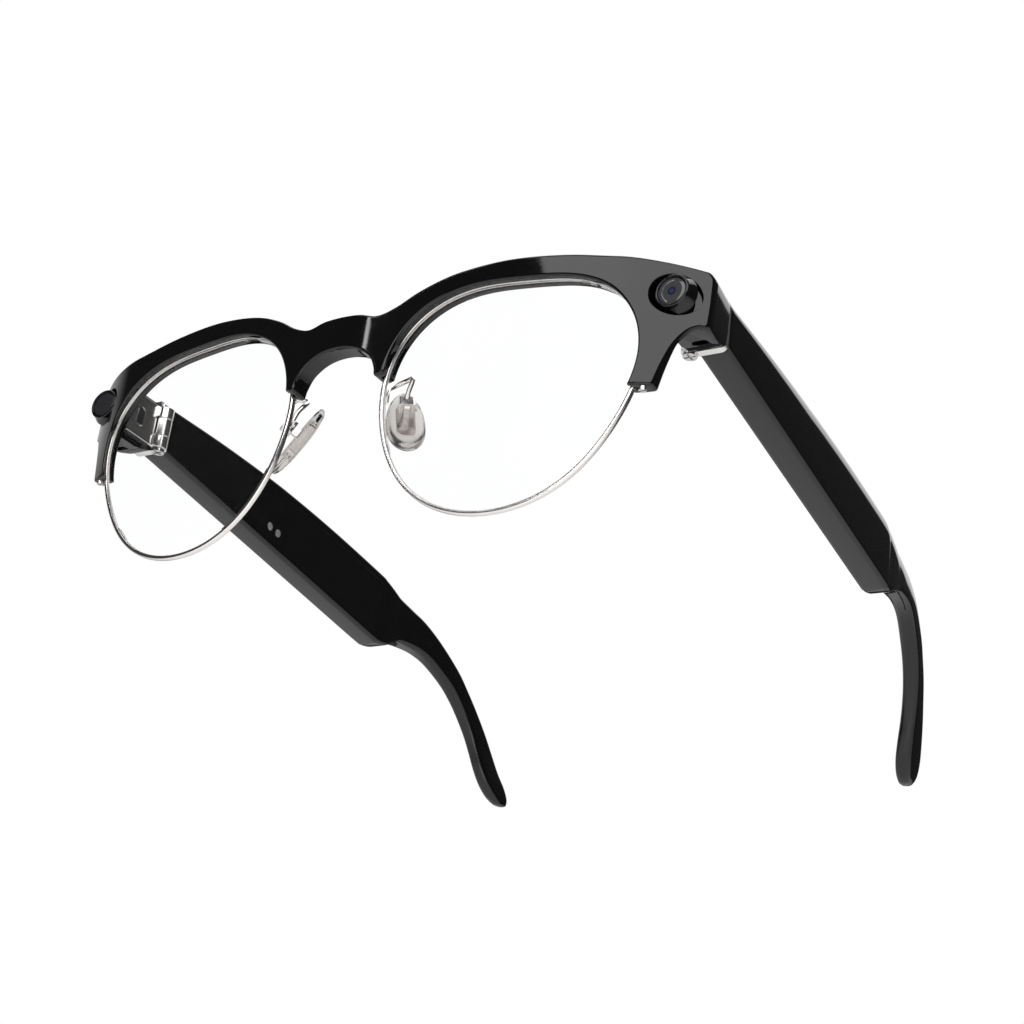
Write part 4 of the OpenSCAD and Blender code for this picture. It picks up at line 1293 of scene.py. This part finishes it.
# ---- settings, operators and panel ----
class GlassesShape(PropertyGroup):
    """Sizes a maker would change."""
    edge: FloatProperty(name="Bar edge", description="Radius of the bar's buffed edges",
                        default=0.45 * MM, unit="LENGTH", precision=5)
    end_edge: FloatProperty(name="End edge", description="Radius of the end pieces' back edges",
                            default=0.4 * MM, unit="LENGTH", precision=5)
    lens_sag: FloatProperty(name="Lens curve", description="How far a lens bows forward at its middle",
                            default=1.1 * MM, unit="LENGTH", precision=5)
    arm_wire: FloatProperty(name="Pad arm wire", description="Radius of the nose pad arms",
                            default=0.45 * MM, unit="LENGTH", precision=5)
    screw_size: FloatProperty(name="Screw size", description="Scale of the bar's screws", default=1.0)


def colour(label, description, code):
    """A colour setting whose default is an sRGB hex value."""
    return FloatVectorProperty(name=label, description=description, default=srgb(code), size=4,
                               subtype="COLOR", min=0.0, max=1.0)


class GlassesColours(PropertyGroup):
    """Colours a maker would change; each finish blends from its first to its second."""
    acetate: colour("Acetate", "Polished bar and temples", "#070707")
    acetate_haze: colour("Acetate haze", "Where the buffing left a little haze", "#0A0A0B")
    rim: colour("Rim", "Plated rim wires and pad arms", "#E9E5E3")
    rim_light: colour("Rim, lighter", "Brighter spots of the rim plating", "#F3F0EE")
    hinge: colour("Hinge", "Satin plating of the hinges and edge plates", "#E0DEDC")
    hinge_light: colour("Hinge, lighter", "Brighter spots of the hinge plating", "#ECEAE8")
    silicone: colour("Silicone", "Nose pads", "#C4C1BE")
    silicone_cloud: colour("Silicone cloud", "Milky spots inside the nose pads", "#D6D3D0")


class GlassesStage(PropertyGroup):
    """The studio's settings."""
    key: FloatProperty(name="Key light", description="Brightness of the front softbox", default=2.6)
    top: FloatProperty(name="Top light", description="Brightness of the overhead softbox", default=1.7)
    strip: FloatProperty(name="Strip light", description="Brightness of the narrow strip", default=8.0)
    fill: FloatProperty(name="Fill light", description="Brightness of the low front softbox", default=1.3)
    dark: FloatProperty(name="Room", description="Brightness of the room away from its walls", default=0.05)
    wall: FloatProperty(name="Back wall", description="Brightness of the lit wall behind", default=1.15)
    side_wall: FloatProperty(name="Side wall", description="Brightness of the wall beside", default=0.6)
    ambient: FloatProperty(name="Ambient", description="Extra light that reaches only matt surfaces",
                           default=0.35)
    lens: FloatProperty(name="Focal length", description="Camera focal length in millimetres", default=67.34,
                        unit="CAMERA")
    floor_drop: FloatProperty(name="Floor drop", description="How far below the glasses the floor lies",
                              default=0.38, unit="LENGTH")


class GLASSES_OT_finishes(Operator):
    """Make every material, and finish the CAD parts that stay hidden inside"""
    bl_idname = "glasses.finishes"
    bl_label = "Finishes"

    def execute(self, context):
        make_finishes(context.scene.glasses_colours)
        inner = {"front_flex": "flex", "camera_module": "matt", "light_board": "circuit",
                 "button_switch": "screw"}
        for side in SIDES:
            inner.update({"ear_core_" + side: "core", "battery_" + side: "foil",
                          "circuit_board_" + side: "circuit", "speaker_" + side: "mesh"})
        for node, finish in inner.items():
            mesh = frame["nodes"][node].data
            mesh.materials.clear()
            mesh.materials.append(FINISHES[finish])
        return {"FINISHED"}


class GLASSES_OT_bar(Operator):
    """Make the brow bar and its end pieces"""
    bl_idname = "glasses.bar"
    bl_label = "Brow bar"

    def execute(self, context):
        shape = context.scene.glasses_shape
        brow_bar(FINISHES["acetate"], shape.edge / MM)
        for side, sign in SIDES.items():
            end_piece("end_piece_" + side, sign, FINISHES["acetate"], shape.end_edge / MM)
            refined("endpiece_cover_" + side, FINISHES["matt"], 0.1)
        refined("microphones", FINISHES["mesh"], 0.05)
        return {"FINISHED"}


class GLASSES_OT_screws(Operator):
    """Make the screws of the bar, the rims and the pads"""
    bl_idname = "glasses.screws"
    bl_label = "Screws"

    def execute(self, context):
        bar_screws(FINISHES["dark_screw"], context.scene.glasses_shape.screw_size)
        refined("rim_locks", FINISHES["screw"], 0.08)
        refined("pad_screws", FINISHES["screw"], 0.08)
        return {"FINISHED"}


class GLASSES_OT_rims(Operator):
    """Make the two rim wires"""
    bl_idname = "glasses.rims"
    bl_label = "Rims"

    def execute(self, context):
        for side, sign in SIDES.items():
            rim("rim_wire_" + side, sign, FINISHES["rim"], ("rim_" + side,))
        return {"FINISHED"}


class GLASSES_OT_lenses(Operator):
    """Make the two lenses"""
    bl_idname = "glasses.lenses"
    bl_label = "Lenses"

    def execute(self, context):
        for side, sign in SIDES.items():
            lens("curved_lens_" + side, sign, FINISHES["lens"], ("lens_" + side,),
                 context.scene.glasses_shape.lens_sag / MM)
        return {"FINISHED"}


class GLASSES_OT_corners(Operator):
    """Make the camera and the light in the bar's corners"""
    bl_idname = "glasses.corners"
    bl_label = "Camera and light"

    def execute(self, context):
        corner_barrel("camera_ring", 1, FINISHES["barrel"], ("camera_barrel",))
        corner_window("camera_glass", 1, FINISHES["camera"], ("camera_window",))
        corner_barrel("light_ring", -1, FINISHES["barrel"], ("light_barrel",))
        corner_window("light_glass", -1, FINISHES["light"], ("light_window",))
        return {"FINISHED"}


class GLASSES_OT_pads(Operator):
    """Make the nose pads, their inserts and their arms"""
    bl_idname = "glasses.pads"
    bl_label = "Nose pads"

    def execute(self, context):
        wire = context.scene.glasses_shape.arm_wire / MM
        for side, sign in SIDES.items():
            nose_pad("soft_pad_" + side, sign, FINISHES["silicone"], "nose_pad_" + side, ("pad_" + side,))
            refined("pad_insert_" + side, FINISHES["rim"], 0.08)
            pad_arm("bent_arm_" + side, sign, FINISHES["rim"], ("pad_arm_" + side,), wire)
            pad_box("pad_box_" + side, sign, FINISHES["rim"])
        return {"FINISHED"}


class GLASSES_OT_hinges(Operator):
    """Make the hinge brackets, pins and temple plates"""
    bl_idname = "glasses.hinges"
    bl_label = "Hinges"

    def execute(self, context):
        for side, sign in SIDES.items():
            refined("hinge_bracket_" + side, FINISHES["hinge"], 0.1)
            refined("hinge_screw_" + side, FINISHES["screw"], 0.05)
            refined("temple_plate_" + side, FINISHES["hinge"], 0.1)
            temple_plate("edge_plate_" + side, sign, FINISHES["hinge"], "temple_" + side)
        return {"FINISHED"}


class GLASSES_OT_temples(Operator):
    """Make the two temples, their inner covers, the button and the charging contacts"""
    bl_idname = "glasses.temples"
    bl_label = "Temples"

    def execute(self, context):
        for side, sign in SIDES.items():
            arm = temple("temple_arm_" + side, sign, FINISHES["acetate"], "temple_" + side,
                         ("temple_shell_" + side, "ear_tip_" + side))
            if side == "right":
                button_well(arm, FINISHES["acetate"])
            refined("temple_cover_" + side, FINISHES["cover"], 0.06)
        refined("charging_contacts", FINISHES["contact"], 0.1)
        refined("capture_button", FINISHES["button"], 0.15)
        return {"FINISHED"}


class GLASSES_OT_stage(Operator):
    """Set up the floor, the lights and the camera"""
    bl_idname = "glasses.stage"
    bl_label = "Stage"

    def execute(self, context):
        stage = context.scene.glasses_stage
        low, high = [Vector(p) for p in CAD_BOX]
        centre = (low + high) / 2
        mesh = bpy.data.meshes.new("floor")
        corners = [(FLOOR_HALF * x, FLOOR_HALF * y, -stage.floor_drop)
                   for x, y in ((-1, -1), (1, -1), (1, 1), (-1, 1))]
        mesh.from_pydata(corners, [], [(0, 1, 2, 3)])
        floor = bpy.data.objects.new("floor", mesh)
        mesh.materials.append(FINISHES["floor"])
        context.scene.collection.objects.link(floor)
        studio_world(stage.dark, stage.wall, stage.side_wall, stage.ambient)
        softbox("key", centre, (0.362, -0.805, 0.52), 1.2, (1.75, 0.75), stage.key)
        softbox("strip", centre, (-0.385, -0.77, 0.505), 1.2, (0.02, 0.5), stage.strip)
        softbox("top", centre, (0.0, 0.1, 1.0), 1.6, (1.8, 1.8), stage.top)
        softbox("fill", centre, (0.45, -0.85, -0.22), 1.0, (0.9, 0.3), stage.fill)
        data = bpy.data.cameras.new("camera")
        data.lens = stage.lens
        data.sensor_width = SENSOR_WIDTH
        camera = bpy.data.objects.new("camera", data)
        turn = Matrix((CAMERA_RIGHT, CAMERA_UP, -VIEW)).transposed()
        camera.matrix_world = Matrix.Translation((CAMERA_AT + ORIGIN) * MM) @ turn.to_4x4()
        context.scene.collection.objects.link(camera)
        context.scene.camera = camera
        context.scene.view_settings.view_transform = "Standard"
        return {"FINISHED"}


STEPS = (GLASSES_OT_finishes, GLASSES_OT_bar, GLASSES_OT_screws, GLASSES_OT_rims, GLASSES_OT_lenses,
         GLASSES_OT_corners, GLASSES_OT_pads, GLASSES_OT_hinges, GLASSES_OT_temples, GLASSES_OT_stage)


class GLASSES_PT_panel(Panel):
    """Lists the steps and the settings in the sidebar"""
    bl_idname = "GLASSES_PT_panel"
    bl_label = "Smart glasses"
    bl_space_type = "VIEW_3D"
    bl_region_type = "UI"
    bl_category = "Glasses"

    def draw(self, context):
        scene = context.scene
        for group in (scene.glasses_shape, scene.glasses_colours, scene.glasses_stage):
            for key in group.bl_rna.properties.keys():
                if key not in ("rna_type", "name"):
                    self.layout.prop(group, key)
        for step in STEPS:
            self.layout.operator(step.bl_idname)


CLASSES = (GlassesShape, GlassesColours, GlassesStage) + STEPS + (GLASSES_PT_panel,)


def register():
    for cls in CLASSES:
        bpy.utils.register_class(cls)
    bpy.types.Scene.glasses_shape = PointerProperty(type=GlassesShape)
    bpy.types.Scene.glasses_colours = PointerProperty(type=GlassesColours)
    bpy.types.Scene.glasses_stage = PointerProperty(type=GlassesStage)


def unregister():
    del bpy.types.Scene.glasses_stage
    del bpy.types.Scene.glasses_colours
    del bpy.types.Scene.glasses_shape
    for cls in reversed(CLASSES):
        bpy.utils.unregister_class(cls)


def main():
    register()
    for step in STEPS:
        group, name = step.bl_idname.split(".")
        getattr(getattr(bpy.ops, group), name)()


if __name__ == "__main__":
    main()
